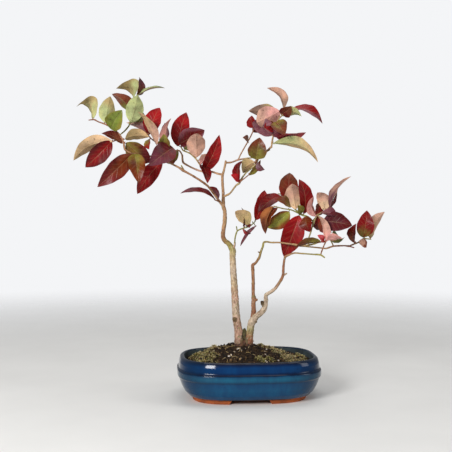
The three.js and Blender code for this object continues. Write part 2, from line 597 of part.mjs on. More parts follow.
// A leaf: a thin blade, folded a little along its midrib and waved at its edges, with its stalk in the twig.
function leaf(twigs, [a0, u0, a1, u1, deeper, width, face, roll, arch, peak = 0.5], index) {
  const [na, nu, depth] = nearestOnTwigs(twigs, a0, u0);
  const base = place(a0, u0, depth + BLADE.baseDepth * deeper);
  const tip = place(a1, u1, depth + deeper);
  const root = place(na, nu, depth);
  const along = tip.clone().sub(base);
  const direction = along.clone().normalize();
  const seen = FRONT.clone().addScaledVector(direction, -FRONT.dot(direction)).normalize()
    .applyAxisAngle(direction, THREE.MathUtils.degToRad(roll));
  const upper = seen.clone().multiplyScalar(face);
  const side = direction.clone().cross(upper);
  const skew = Math.log(0.5) / Math.log(peak);
  const centre = (t) => base.clone().addScaledVector(along, t)
    .addScaledVector(upper, arch * 4 * t ** skew * (1 - t ** skew));
  const fold = THREE.MathUtils.degToRad(BLADE.fold);
  const rows = BLADE.stations.map((t) => {
    const tangent = centre(t + 0.01).sub(centre(Math.max(0, t - 0.01))).normalize();
    const normal = side.clone().cross(tangent).normalize();
    const half = Math.max(BLADE.stalk / 2, (width / 2) * Math.sin(Math.PI * t ** BLADE.low) ** BLADE.full);
    return [t, normal.dot(upper) < 0 ? normal.negate() : normal, half];
  });
  // Both faces have the same grid of left edge, midrib and right edge, and the same diagonals.
  const points = [0.5, -0.5].flatMap((layer) => rows.flatMap(([t, normal, half]) => [-1, 0, 1].map((lane) => {
    const turn = 2 * Math.PI * (BLADE.ripples * t + 0.31 * index + 0.2 * lane);
    const ripple = Math.abs(lane) * half * BLADE.ripple * Math.sin(turn);
    return centre(t)
      .addScaledVector(side, lane * half * Math.cos(fold))
      .addScaledVector(normal, Math.abs(lane) * half * Math.sin(fold) + ripple + layer * BLADE.thickness);
  })));
  const under = rows.length * 3;
  const triangles = [];
  for (let a = 0; a + 3 < under; a += 3) {
    const left = [[a, a + 1, a + 4], [a, a + 4, a + 3]];
    const right = [[a + 1, a + 2, a + 4], [a + 2, a + 5, a + 4]];
    for (const [p, q, r] of [...left, ...right]) triangles.push([p, q, r], [p + under, r + under, q + under]);
    triangles.push([a + 3, a + under, a], [a + 3, a + 3 + under, a + under]);
    triangles.push([a + 2, a + 2 + under, a + 5], [a + 5, a + 2 + under, a + 5 + under]);
  }
  // The stalk ends in a point inside the twig, and the blade in its tip.
  const last = under - 3;
  const rootEnd = points.push(root) - 1;
  const tipEnd = points.push(tip) - 1;
  const mouth = [0, 1, 2, 2 + under, 1 + under, under];
  mouth.forEach((p, i) => {
    const q = mouth[(i + 1) % mouth.length];
    triangles.push([q, p, rootEnd], [p + last, q + last, tipEnd]);
  });
  return solid(indexed(points, triangles));
}

function largest(body) {
  return body.decompose().sort((a, b) => b.volume() - a.volume())[0];
}

function makeWood(grow) {
  const limbs = Object.values(WOOD).map(([sides, ...readings]) => limb(readings, sides, grow));
  return wasm.Manifold.union([...limbs, makeCrown()]);
}

const wood = makeWood(0);
const woodRoom = makeWood(CLEARANCE);

// A shoot's twigs and leaves in one, cut back clear of the wood or the shoot that it grows from.
function makeShoot({ twigs, leaves, seat }) {
  const parts = twigs.map((readings) => limb(readings, TWIG_SIDES));
  leaves.forEach((readings, index) => parts.push(leaf(twigs, readings, index)));
  const seats = seat ? SHOOTS[seat].twigs.map((readings) => limb(readings, TWIG_SIDES, CLEARANCE)) : [];
  return largest(wasm.Manifold.union(parts).subtract(wasm.Manifold.union([woodRoom, ...seats])));
}

function mesh(name, body, { color, roughness }) {
  const material = new THREE.MeshStandardMaterial({ color, roughness, metalness: 0 });
  const made = new THREE.Mesh(geometryOf(body), material);
  made.name = name;
  return made;
}

const bonsai = new THREE.Group();
bonsai.add(
  mesh('pot', makePot(), { color: 0x12496b, roughness: 0.15 }),
  mesh('drain_screen_left', makeScreen(-DRAIN.across), { color: 0x1c1f1d, roughness: 0.7 }),
  mesh('drain_screen_right', makeScreen(DRAIN.across), { color: 0x1c1f1d, roughness: 0.7 }),
  mesh('soil', makeSoil(), { color: 0x3d3020, roughness: 0.95 }),
  mesh('trunk', wood, BARK),
);
for (const [name, shoot] of Object.entries(SHOOTS)) bonsai.add(mesh(name, makeShoot(shoot), shoot.finish));

// The whole plant and pot stand with the middle of their outline over the origin.
const bounds = new THREE.Box3().setFromObject(bonsai);
const middle = bounds.getCenter(new THREE.Vector3());
bonsai.position.set(-middle.x, -middle.y, 0);

export default bonsai;
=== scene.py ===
"""A small blueberry bush grown as a bonsai, standing in a glazed oval pot.

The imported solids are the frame. Each sub-assembly below is a class that holds its sizes in millimetres, in
the pot's own frame (length along X, front towards -Y, feet on z = 0), and builds the finer piece that
stands for them.
"""

from __future__ import annotations

import logging
import math
import random
from collections.abc import Sequence
from dataclasses import dataclass, field
from enum import Enum

import bmesh
import bpy
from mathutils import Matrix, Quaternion, Vector, noise


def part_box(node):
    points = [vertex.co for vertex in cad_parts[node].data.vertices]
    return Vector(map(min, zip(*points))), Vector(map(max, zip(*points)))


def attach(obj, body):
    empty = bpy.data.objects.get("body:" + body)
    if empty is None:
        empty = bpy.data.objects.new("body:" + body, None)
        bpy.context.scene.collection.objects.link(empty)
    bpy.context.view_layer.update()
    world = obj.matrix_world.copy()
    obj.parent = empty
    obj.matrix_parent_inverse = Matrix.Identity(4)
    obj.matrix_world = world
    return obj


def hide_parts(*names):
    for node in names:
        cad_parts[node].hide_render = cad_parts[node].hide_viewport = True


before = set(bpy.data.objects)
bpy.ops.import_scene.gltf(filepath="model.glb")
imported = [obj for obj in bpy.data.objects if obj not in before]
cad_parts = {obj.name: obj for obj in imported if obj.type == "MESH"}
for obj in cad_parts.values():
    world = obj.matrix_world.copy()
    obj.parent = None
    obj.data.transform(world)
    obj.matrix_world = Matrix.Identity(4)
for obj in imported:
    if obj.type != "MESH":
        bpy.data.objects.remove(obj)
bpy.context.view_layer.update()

LOG = logging.getLogger("bonsai")
MM = 0.001
# How round a stem's knees are, from 0 for straight stretches to 1.
BEND = 0.8
UP = Vector((0.0, 0.0, 1.0))

Socket = bpy.types.NodeSocket
Material = bpy.types.Material
Object = bpy.types.Object
Colour = tuple[float, float, float]
Triple = tuple[float, float, float]
Reading = tuple[float, float, float, float]
Stops = Sequence[tuple[float, Colour | float]]

NOWHERE: Triple = (0.0, 0.0, 0.0)
WHITE: Colour = (1.0, 1.0, 1.0)


def pot_centre() -> Vector:
    """Returns the place over the origin of the pot's own frame, in millimetres of the row's frame."""
    low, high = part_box("pot")
    return Vector(((low[0] + high[0]) / 2, (low[1] + high[1]) / 2, 0.0)) / MM


def colour_of(code: int) -> Colour:
    """Turns a screen colour into the linear colour that a shader takes.

    Args:
        code: red, green and blue as a six-digit hexadecimal number.

    Returns:
        The linear red, green and blue.
    """
    parts = [((code >> shift) & 255) / 255 for shift in (16, 8, 0)]
    red, green, blue = (c / 12.92 if c <= 0.04045 else ((c + 0.055) / 1.055) ** 2.4 for c in parts)
    return (red, green, blue)


def blend(first: Colour, second: Colour, share: float) -> Colour:
    """Returns the linear colour at a share of the way from the first colour to the second."""
    s = min(1.0, max(0.0, share))
    return tuple(a + (b - a) * s for a, b in zip(first, second))


def ease(low: float, high: float, value: float) -> float:
    """Returns how far a value has risen from low to high, smoothly from 0 to 1."""
    t = min(1.0, max(0.0, (value - low) / (high - low)))
    return t * t * (3 - 2 * t)


class Swatch(Enum):
    """A named colour, held as a six-digit screen colour."""

    @property
    def colour(self) -> Colour:
        """The linear colour."""
        return colour_of(self.value)


class Tint(Swatch):
    """The leaf colours of the autumn plant."""

    MAROON = 0x541416
    DARK_RED = 0x780F12
    CRIMSON = 0x93181C
    SCARLET = 0xB3222A
    PINK_RED = 0xBC4E56
    PLUM = 0x62303A
    WINE = 0x64181A
    MAUVE = 0x80505A
    BROWN = 0x6A3420
    RUST = 0x703014
    ORANGE = 0xA8683A
    OLIVE = 0x7A7230
    LEAF_GREEN = 0x728034
    DARK_GREEN = 0x4C5828
    YELLOW_GREEN = 0x8E8E3C
    PALE_GREEN = 0xA9B27C
    TAN = 0xC4A67C
    LIGHT_TAN = 0xD2B492
    OLIVE_TAN = 0xA39064
    SALMON = 0xD69A92
    PINK_TAN = 0xCBA08C
    GREY_PURPLE = 0x806670
    GREY_BROWN = 0x927464


class Bark(Swatch):
    """The colours of the wood, from the old base to the young twigs."""

    OLD_GREY = 0xBCA994
    PALE = 0xBCA482
    PINK_TAN = 0xB8927E
    TAN = 0xB08A66
    BROWN = 0x96694A
    RED_BROWN = 0x8E5C44
    RED = 0x96453A
    OLIVE = 0x968E4E
    GREEN = 0x88934A
    YELLOW = 0xAAA070
    SHADE = 0x6E5C3E
    DARK = 0x3A2816
    MOSSY = 0x4A4620


def tones_of(tones: Sequence[Bark]) -> tuple[Colour, ...]:
    """Returns the linear colours of some bark tones."""
    return tuple(tone.colour for tone in tones)


class Pattern(Enum):
    """How a leaf's two colours are laid out."""

    TIP = "from the stalk to the tip"
    EDGE = "from the midrib to the edge"
    SPLIT = "one on each side of the midrib"


class Side(Enum):
    """The side of a leaf that faces the front."""

    UPPER = 1
    UNDER = -1


@dataclass(frozen=True)
class Viewpoint:
    """The place in front of the plant that its readings were taken from, in millimetres and degrees."""

    across: float = -24.2
    up: float = 184.5
    distance: float = 820.0
    turn: float = 5.0
    lens: float = 59.87

    @property
    def spin(self) -> Quaternion:
        """The turn from the viewer's frame into the pot's own frame."""
        return Quaternion(UP, -math.radians(self.turn))

    @property
    def front(self) -> Vector:
        """The level direction from the plant to the viewer, in the pot's frame."""
        return self.spin @ Vector((0.0, -1.0, 0.0))

    def place(self, across: float, up: float, depth: float) -> Vector:
        """Finds the true place of a reading.

        Args:
            across: how far to the right it appears on the upright plane through the pot's middle.
            up: how high it appears on that plane.
            depth: how far behind that plane it lies.

        Returns:
            The place in the pot's own frame, in millimetres.
        """
        spread = (self.distance + depth) / self.distance
        x = self.across + (across - self.across) * spread
        z = self.up + (up - self.up) * spread
        return self.spin @ Vector((x, depth, z))


VIEW = Viewpoint()
ORIGIN = pot_centre()


class Graph:
    """A material's node tree, built socket by socket."""

    def __init__(self, name: str) -> None:
        """Starts a material with one Principled shader.

        Args:
            name: the material's name.
        """
        self.material = bpy.data.materials.new(name)
        self.material.use_nodes = True
        self.tree = self.material.node_tree
        self.shader = next(n for n in self.tree.nodes if n.type == "BSDF_PRINCIPLED")

    def node(self, kind: str, values: dict | None = None, **settings: object) -> bpy.types.Node:
        """Adds a node.

        Args:
            kind: the node's type name.
            values: numbers or sockets for its inputs, by name or place.
            settings: the node's own properties.

        Returns:
            The new node.
        """
        made = self.tree.nodes.new(kind)
        for key, value in settings.items():
            setattr(made, key, value)
        for key, value in (values or {}).items():
            if isinstance(value, Socket):
                self.tree.links.new(value, made.inputs[key])
            else:
                made.inputs[key].default_value = value
        return made

    def math(self, operation: str, *values: object) -> Socket:
        """Adds a Math node for an operation on some values and returns its result."""
        return self.node("ShaderNodeMath", dict(enumerate(values)), operation=operation).outputs[0]

    def span(self, value: object, low: float, high: float, start: float = 0.0, end: float = 1.0) -> Socket:
        """Maps a value smoothly from between low and high to between start and end."""
        values = {0: value, 1: low, 2: high, 3: start, 4: end}
        return self.node("ShaderNodeMapRange", values, interpolation_type="SMOOTHSTEP").outputs[0]

    def mix(self, share: object, first: object, second: object, way: str = "MIX") -> Socket:
        """Mixes two colours.

        Args:
            share: how much of the second colour.
            first: the first colour, as a socket or a linear colour.
            second: the second colour.
            way: the node's blend type.

        Returns:
            The mixed colour's socket.
        """
        values = {0: share}
        for place, value in ((6, first), (7, second)):
            values[place] = value if isinstance(value, Socket) else (*value, 1.0)
        return self.node("ShaderNodeMix", values, data_type="RGBA", blend_type=way).outputs[2]

    def ramp(self, value: object, stops: Stops) -> Socket:
        """Looks a colour up along a row of stops.

        Args:
            value: the socket that is looked up.
            stops: places from 0 to 1 and their colours, or one number for a grey.

        Returns:
            The colour's socket.
        """
        made = self.node("ShaderNodeValToRGB", {0: value})
        row = made.color_ramp.elements
        while len(row) < len(stops):
            row.new(1.0)
        for element, (place, colour) in zip(row, stops):
            element.position = place
            element.color = (*colour, 1.0) if isinstance(colour, tuple) else (colour, colour, colour, 1.0)
        return made.outputs[0]

    def shaded(self, colour: object, share: float, value: object, stops: Stops) -> Socket:
        """Multiplies a colour, by the given share, by the row of stops at a value."""
        return self.mix(share, colour, self.ramp(value, stops), "MULTIPLY")

    def stained(self, colour: Socket, where: Socket, share: object, stain: Colour) -> Socket:
        """Lays a stain over a colour where a value is 1, as strong as the share says."""
        return self.mix(self.math("MULTIPLY", where, share), colour, stain)

    def swing(self, value: Socket, reach: float) -> Socket:
        """Turns a value from 0 to 1 into a shift to both sides of nothing, as wide as reach."""
        return self.math("MULTIPLY", self.math("SUBTRACT", value, 0.5), reach)

    def position(self) -> Socket:
        """Returns the object coordinates, in metres."""
        return self.node("ShaderNodeTexCoord").outputs["Object"]

    def attribute(self, name: str, output: str = "Color") -> Socket:
        """Returns an output of the value that is stored on the mesh under a name."""
        return self.node("ShaderNodeAttribute", attribute_name=name).outputs[output]

    def split(self, vector: Socket) -> tuple[Socket, ...]:
        """Returns the three parts of a vector."""
        return tuple(self.node("ShaderNodeSeparateXYZ", {0: vector}).outputs)

    def scaled(self, vector: Socket, scale: Triple) -> Socket:
        """Returns a vector stretched by a factor along each axis."""
        return self.node("ShaderNodeMapping", {"Vector": vector, "Scale": scale}).outputs[0]

    def cloud(self, vector: object, scale: float, detail: float = 4.0, rough: float = 0.55) -> Socket:
        """Adds fractal noise, scale cells for each unit of length, and returns it from 0 to 1."""
        values = {"Vector": vector, "Scale": scale, "Detail": detail, "Roughness": rough}
        return self.node("ShaderNodeTexNoise", values).outputs[0]

    def bump(self, height: object, strength: float, distance: float, below: object = None) -> Socket:
        """Turns a height into a shading normal.

        Args:
            height: the height's socket.
            strength: how much of it is used.
            distance: the relief's depth in metres.
            below: another bump's normal that this one lies on.

        Returns:
            The normal's socket.
        """
        values = {"Height": height, "Strength": strength, "Distance": distance}
        if below is not None:
            values["Normal"] = below
        return self.node("ShaderNodeBump", values).outputs[0]

    def finish(self, colour: object, rough: object, normal: object = None, **sockets: float) -> Material:
        """Feeds the shader.

        Args:
            colour: the base colour, as a socket or a linear colour.
            rough: the roughness, as a socket or a number.
            normal: the shading normal's socket.
            sockets: even values for other sockets, with underscores for the spaces in their names.

        Returns:
            The finished material.
        """
        inputs = self.shader.inputs
        for name, value in (("Base Color", colour), ("Roughness", rough), ("Normal", normal)):
            if isinstance(value, Socket):
                self.tree.links.new(value, inputs[name])
            elif value is not None:
                inputs[name].default_value = (*value, 1.0) if name == "Base Color" else value
        for name, value in sockets.items():
            inputs[name.replace("_", " ")].default_value = value
        return self.material


@dataclass(frozen=True)
class LeafFinish:
    """Leathery blades: glossy above and dull beneath, with a midrib, curved side veins and blotches."""

    vein_pairs: float = 7.0
    vein_curve: float = 0.8
    vein_slant: float = 1.7
    vein_strength: float = 0.55
    blotches_a_metre: float = 95.0
    specks_a_metre: float = 330.0
    pores_a_metre: float = 900.0
    rough_beneath: float = 0.66
    rough_above: float = 0.3
    sheen: float = 0.14
    rib: Colour = colour_of(0xD9B98A)
    spot: Colour = colour_of(0x2E130E)

    def veins(self, g: Graph, along: Socket, away: Socket) -> Socket:
        """Draws the midrib and the curved side veins.

        Args:
            g: the material's graph.
            along: how far along the blade.
            away: how far from the midrib, from 0 to 1.

        Returns:
            A socket that is 1 on a line and 0 beside it.
        """
        run = g.math("MULTIPLY", along, self.vein_pairs)
        lean = g.math("MULTIPLY", g.math("POWER", away, self.vein_curve), self.vein_slant)
        near = g.math("PINGPONG", g.math("SUBTRACT", run, lean), 0.5)
        sides = g.math("MULTIPLY", g.span(near, 0.0, 0.12, 1.0, 0.0), g.span(away, 0.45, 0.95, 1.0, 0.15))
        midrib = g.span(away, 0.02, 0.075, 1.0, 0.0)
        return g.math("MAXIMUM", midrib, g.math("MULTIPLY", sides, self.vein_strength))

    def build(self) -> Material:
        """Returns the material of the blades."""
        g = Graph("leaf_blade")
        along, across, upper = g.split(g.attribute("blade", "Vector"))
        lines = self.veins(g, along, g.math("ABSOLUTE", across))
        place = g.position()
        broad = g.cloud(place, self.blotches_a_metre, 3.0)
        fine = g.cloud(place, self.pores_a_metre, 4.0, 0.65)
        blotches = [(0.3, (0.5, 0.46, 0.46)), (0.5, (0.97, 0.96, 0.96)), (0.72, (1.34, 1.24, 1.12))]
        colour = g.shaded(g.attribute("tint"), 0.85, broad, blotches)
        colour = g.shaded(colour, 0.7, fine, [(0.3, 0.8), (0.7, 1.15)])
        speck = g.span(g.cloud(place, self.specks_a_metre, 2.0, 0.4), 0.69, 0.74)
        colour = g.stained(colour, speck, 0.55, self.spot)
        colour = g.stained(colour, lines, 0.11, self.rib)
        even = g.span(upper, 0.0, 1.0, self.rough_beneath, self.rough_above)
        rough = g.math("ADD", even, g.swing(fine, 0.3))
        relief = g.math("MULTIPLY", lines, g.span(upper, 0.0, 1.0, 1.0, -1.0))
        puckers = g.bump(broad, 0.35, 0.0009)
        veined = g.bump(relief, 0.5, 0.00035, puckers)
        return g.finish(colour, rough, g.bump(fine, 0.3, 0.00012, veined), Specular_IOR_Level=self.sheen)


@dataclass(frozen=True)
class BarkFinish:
    """Wood: streaked along its length, with cracks, pale scars and grey lichen on the old parts."""

    streaks_a_mm: float = 1.1
    fibres_a_mm: float = 3.4
    crack: Colour = colour_of(0x3B2A1E)
    lichen: Colour = colour_of(0xD0C8B2)
    algae: Colour = colour_of(0x7C7848)

    def build(self) -> Material:
        """Returns the material of the stems and twigs."""
        g = Graph("bark")
        grain, age = g.attribute("grain", "Vector"), g.attribute("age", "Fac")
        streak = g.cloud(g.scaled(grain, (1.0, 1.0, 0.22)), self.streaks_a_mm, 5.0, 0.62)
        fibre = g.cloud(g.scaled(grain, (1.0, 1.0, 0.12)), self.fibres_a_mm, 3.0)
        streaks = [(0.32, (0.36, 0.3, 0.25)), (0.5, (0.95, 0.94, 0.93)), (0.68, (1.35, 1.33, 1.3))]
        colour = g.shaded(g.attribute("tint"), 0.9, streak, streaks)
        patches = [(0.35, (0.78, 0.72, 0.68)), (0.6, (1.1, 1.1, 1.08))]
        colour = g.shaded(colour, 0.8, g.cloud(grain, 0.16, 3.0), patches)
        colour = g.stained(colour, g.span(g.cloud(grain, 0.3, 4.0, 0.7), 0.55, 0.64), age, self.algae)
        colour = g.stained(colour, g.span(streak, 0.34, 0.42, 1.0, 0.0), 0.5, self.crack)
        colour = g.stained(colour, g.span(g.cloud(grain, 0.55, 4.0, 0.7), 0.56, 0.68), age, self.lichen)
        rough = g.math("ADD", g.math("MULTIPLY", fibre, 0.25), 0.55)
        ridges = g.bump(streak, 0.7, 0.0006)
        return g.finish(colour, rough, g.bump(fibre, 0.5, 0.0002, ridges), Specular_IOR_Level=0.3)


@dataclass(frozen=True)
class GlazeFinish:
    """Blue glaze, greenish on the belt and thin and pale on the lip, with painted shade darkening both ends.

    The height is in millimetres. The foot line's heights and the distances from the middle where the painted
    end shade begins and is full are in metres, as the shader's coordinates are.
    """

    height: float = 46.0
    foot_line: tuple[float, float] = (0.0050, 0.0056)
    ends: tuple[float, float] = (0.03, 0.076)
    clay: Colour = colour_of(0xB2541F)
    # The colour of the painted shade at the pot's two ends.
    painted_end_shade: Colour = colour_of(0x042038)
    pit: Colour = colour_of(0x050A14)

    def zones(self) -> list[tuple[float, Colour]]:
        """Returns the glaze's colour by height, as shares of the pot's height."""
        rows = [
            # The band at 24.7 mm, darker than the rows on each side, is painted shade under the belt's step.
            (0.0, 0x063A5E), (8.0, 0x073E64), (16.0, 0x084468), (22.5, 0x063C62), (24.7, 0x04304E),
            (25.8, 0x06405E), (28.5, 0x0A4E6A), (31.0, 0x063C5C), (32.3, 0x0A0C22), (33.6, 0x061C3C),
            (35.5, 0x052E58), (40.0, 0x05305C), (42.6, 0x061A3A), (43.9, 0x0A0E20), (45.0, 0x20242F),
        ]
        return [(z / self.height, colour_of(code)) for z, code in rows]

    def build(self) -> Material:
        """Returns the material of the glazed wall."""
        g = Graph("blue_glaze")
        place = g.position()
        z = g.split(place)[2]
        waver = g.cloud(place, 60.0, 3.0)
        level = g.math("ADD", g.math("DIVIDE", z, self.height * MM), g.swing(waver, 0.05))
        colour = g.ramp(level, self.zones())
        runs = g.cloud(g.scaled(place, (1.0, 1.0, 0.3)), 150.0, 4.0)
        thin_and_thick = [(0.3, (0.72, 0.76, 0.85)), (0.5, 1.0), (0.7, (1.25, 1.3, 1.2))]
        colour = g.shaded(colour, 0.75, runs, thin_and_thick)
        colour = g.stained(colour, g.span(g.cloud(place, 420.0, 2.0), 0.68, 0.76), 0.6, self.pit)
        bare = g.span(g.math("ADD", z, g.swing(waver, 0.0022)), *self.foot_line, 1.0, 0.0)
        colour = g.mix(bare, colour, self.clay)
        own = g.node("ShaderNodeVectorMath", {0: place, 1: ORIGIN * MM}, operation="SUBTRACT").outputs[0]
        # Painted shade: the glaze darkens towards both ends of the pot.
        ends = g.span(g.math("ABSOLUTE", g.split(own)[0]), *self.ends)
        colour = g.stained(colour, ends, 0.7, g.mix(bare, self.painted_end_shade, self.clay))
        rough = g.math("ADD", g.math("MULTIPLY", bare, 0.6), 0.1)
        swell = g.bump(g.cloud(place, 45.0, 2.0), 0.25, 0.0012)
        normal = g.bump(runs, 0.12, 0.0003, swell)
        return g.finish(colour, rough, normal, Specular_IOR_Level=0.26)


@dataclass(frozen=True)
class ClayFinish:
    """Bare fired clay, sandy and a little scorched."""

    name: str
    base: int
    scorch: int

    def build(self) -> Material:
        """Returns the material of an unglazed surface."""
        g = Graph(self.name)
        place = g.position()
        broad = g.cloud(place, 70.0, 4.0)
        sand = g.cloud(place, 1500.0, 3.0, 0.7)
        colour = g.mix(g.span(broad, 0.35, 0.7), colour_of(self.base), colour_of(self.scorch))
        colour = g.shaded(colour, 0.8, sand, [(0.35, 0.7), (0.6, 1.12)])
        return g.finish(colour, 0.8, g.bump(sand, 0.6, 0.0002), Specular_IOR_Level=0.3)


@dataclass(frozen=True)
class GroundFinish:
    """Damp soil, grit or moss, each coloured point by point and roughened."""

    name: str
    grains_a_metre: float
    rough: float
    depth: float

    def build(self) -> Material:
        """Returns the material of something in the pot."""
        g = Graph(self.name)
        coarse = g.cloud(g.position(), self.grains_a_metre, 6.0, 0.7)
        shades = [(0.3, (0.35, 0.33, 0.32)), (0.5, 0.95), (0.72, (1.7, 1.6, 1.5))]
        colour = g.shaded(g.attribute("tint"), 0.9, coarse, shades)
        return g.finish(colour, self.rough, g.bump(coarse, 0.8, self.depth), Specular_IOR_Level=0.25)


@dataclass(frozen=True)
class PlasticFinish:
    """Plain black mesh plastic."""

    base: int = 0x1B1E1C

    def build(self) -> Material:
        """Returns the material of the drain screens."""
        g = Graph("screen_plastic")
        grain = g.cloud(g.position(), 1200.0, 3.0)
        colour = g.shaded(colour_of(self.base), 0.8, grain, [(0.3, 0.8), (0.7, 1.2)])
        return g.finish(colour, 0.55, g.bump(grain, 0.3, 0.0001))


@dataclass
class Skin:
    """The points, faces and stored values of one mesh while it is made, in millimetres."""

    points: list[Vector] = field(default_factory=list)
    faces: list[tuple[int, ...]] = field(default_factory=list)
    layers: list[int] = field(default_factory=list)
    tints: list[Colour] = field(default_factory=list)
    blades: list[Triple] = field(default_factory=list)
    grains: list[Triple] = field(default_factory=list)
    ages: list[float] = field(default_factory=list)
    layer: int = 0

    def point(
        self, place: Vector, tint: Colour, blade: Triple = NOWHERE, grain: Triple = NOWHERE, age: float = 0.0
    ) -> int:
        """Adds a point with its stored values.

        Args:
            place: where it is.
            tint: its colour.
            blade: its place on a leaf: along, across and 1 above or 0 beneath.
            grain: its place in the bark's grain.
            age: how old and grey the wood is there.

        Returns:
            The point's number.
        """
        self.points.append(place)
        self.tints.append(tint)
        self.blades.append(blade)
        self.grains.append(grain)
        self.ages.append(age)
        return len(self.points) - 1

    def face(self, *corners: int) -> None:
        """Adds a face of the current layer, its corners anticlockwise from outside."""
        self.faces.append(corners)
        self.layers.append(self.layer)

    def bridge(self, first: Sequence[int], second: Sequence[int], closed: bool = True) -> None:
        """Joins two rows of points with four-sided faces.

        Args:
            first: the earlier row's points.
            second: the later row's points.
            closed: whether the rows are rings.
        """
        count = len(first)
        for i in range(count if closed else count - 1):
            j = (i + 1) % count
            self.face(first[i], first[j], second[j], second[i])

    def loft(self, rows: Sequence[Sequence[int]], capped: bool = False) -> None:
        """Joins a row of rings.

        Args:
            rows: the rings' points.
            capped: whether the first and the last ring are closed with a flat face.
        """
        for first, second in zip(rows, rows[1:]):
            self.bridge(first, second)
        if capped:
            self.face(*reversed(rows[0]))
            self.face(*rows[-1])

    def build(self, name: str, finishes: Sequence[Material] = (), crease: float = 60.0) -> Object:
        """Makes the object, in metres in the row's frame.

        Args:
            name: the piece's name.
            finishes: its materials, one for each layer number.
            crease: edges that turn by more than this many degrees stay sharp.

        Returns:
            The new object, linked to the scene.
        """
        mesh = bpy.data.meshes.new(name)
        mesh.from_pydata([(p + ORIGIN) * MM for p in self.points], [], self.faces)
        for finish in finishes:
            mesh.materials.append(finish)
        mesh.polygons.foreach_set("material_index", self.layers)
        for label, kind, slot, rows in (
            ("tint", "FLOAT_COLOR", "color", [(*tint, 1.0) for tint in self.tints]),
            ("blade", "FLOAT_VECTOR", "vector", self.blades),
            ("grain", "FLOAT_VECTOR", "vector", self.grains),
            ("age", "FLOAT", "value", [(age,) for age in self.ages]),
        ):
            values = [value for row in rows for value in row]
            if any(values):
                mesh.attributes.new(label, kind, "POINT").data.foreach_set(slot, values)
        mesh.validate()
        mesh.shade_smooth()
        mesh.set_sharp_from_angle(angle=math.radians(crease))
        made = bpy.data.objects.new(name, mesh)
        bpy.context.scene.collection.objects.link(made)
        return made


@dataclass(frozen=True)
class Knot:
    """One station along a stem."""

    centre: Vector
    radius: float
    run: float


def smooth_path(readings: Sequence[Reading], step: float) -> list[Knot]:
    """Draws a smooth stem through its readings.

    Args:
        readings: across, up, depth and radius at each knee.
        step: the distance between stations.

    Returns:
        The stations from start to end.
    """
    places = [VIEW.place(a, u, d) for a, u, d, _ in readings]
    headings = [
        (places[min(i + 1, len(places) - 1)] - places[max(i - 1, 0)]).normalized() for i in range(len(places))
    ]
    knots: list[Knot] = []
    run = 0.0
    for i in range(len(places) - 1):
        start, end = places[i], places[i + 1]
        length = (end - start).length
        count = max(2, round(length / step))
        for j in range(count + (i == len(places) - 2)):
            t = j / count
            ahead, behind = headings[i] * length * BEND, headings[i + 1] * length * BEND
            centre = (
                start * (2 * t**3 - 3 * t**2 + 1) + ahead * (t**3 - 2 * t**2 + t)
                + end * (3 * t**2 - 2 * t**3) + behind * (t**3 - t**2)
            )
            centre = centre.lerp(start.lerp(end, t), 1 - BEND)
            radius = readings[i][3] + (readings[i + 1][3] - readings[i][3]) * t
            if knots:
                run += (centre - knots[-1].centre).length
            knots.append(Knot(centre, radius, run))
    return knots


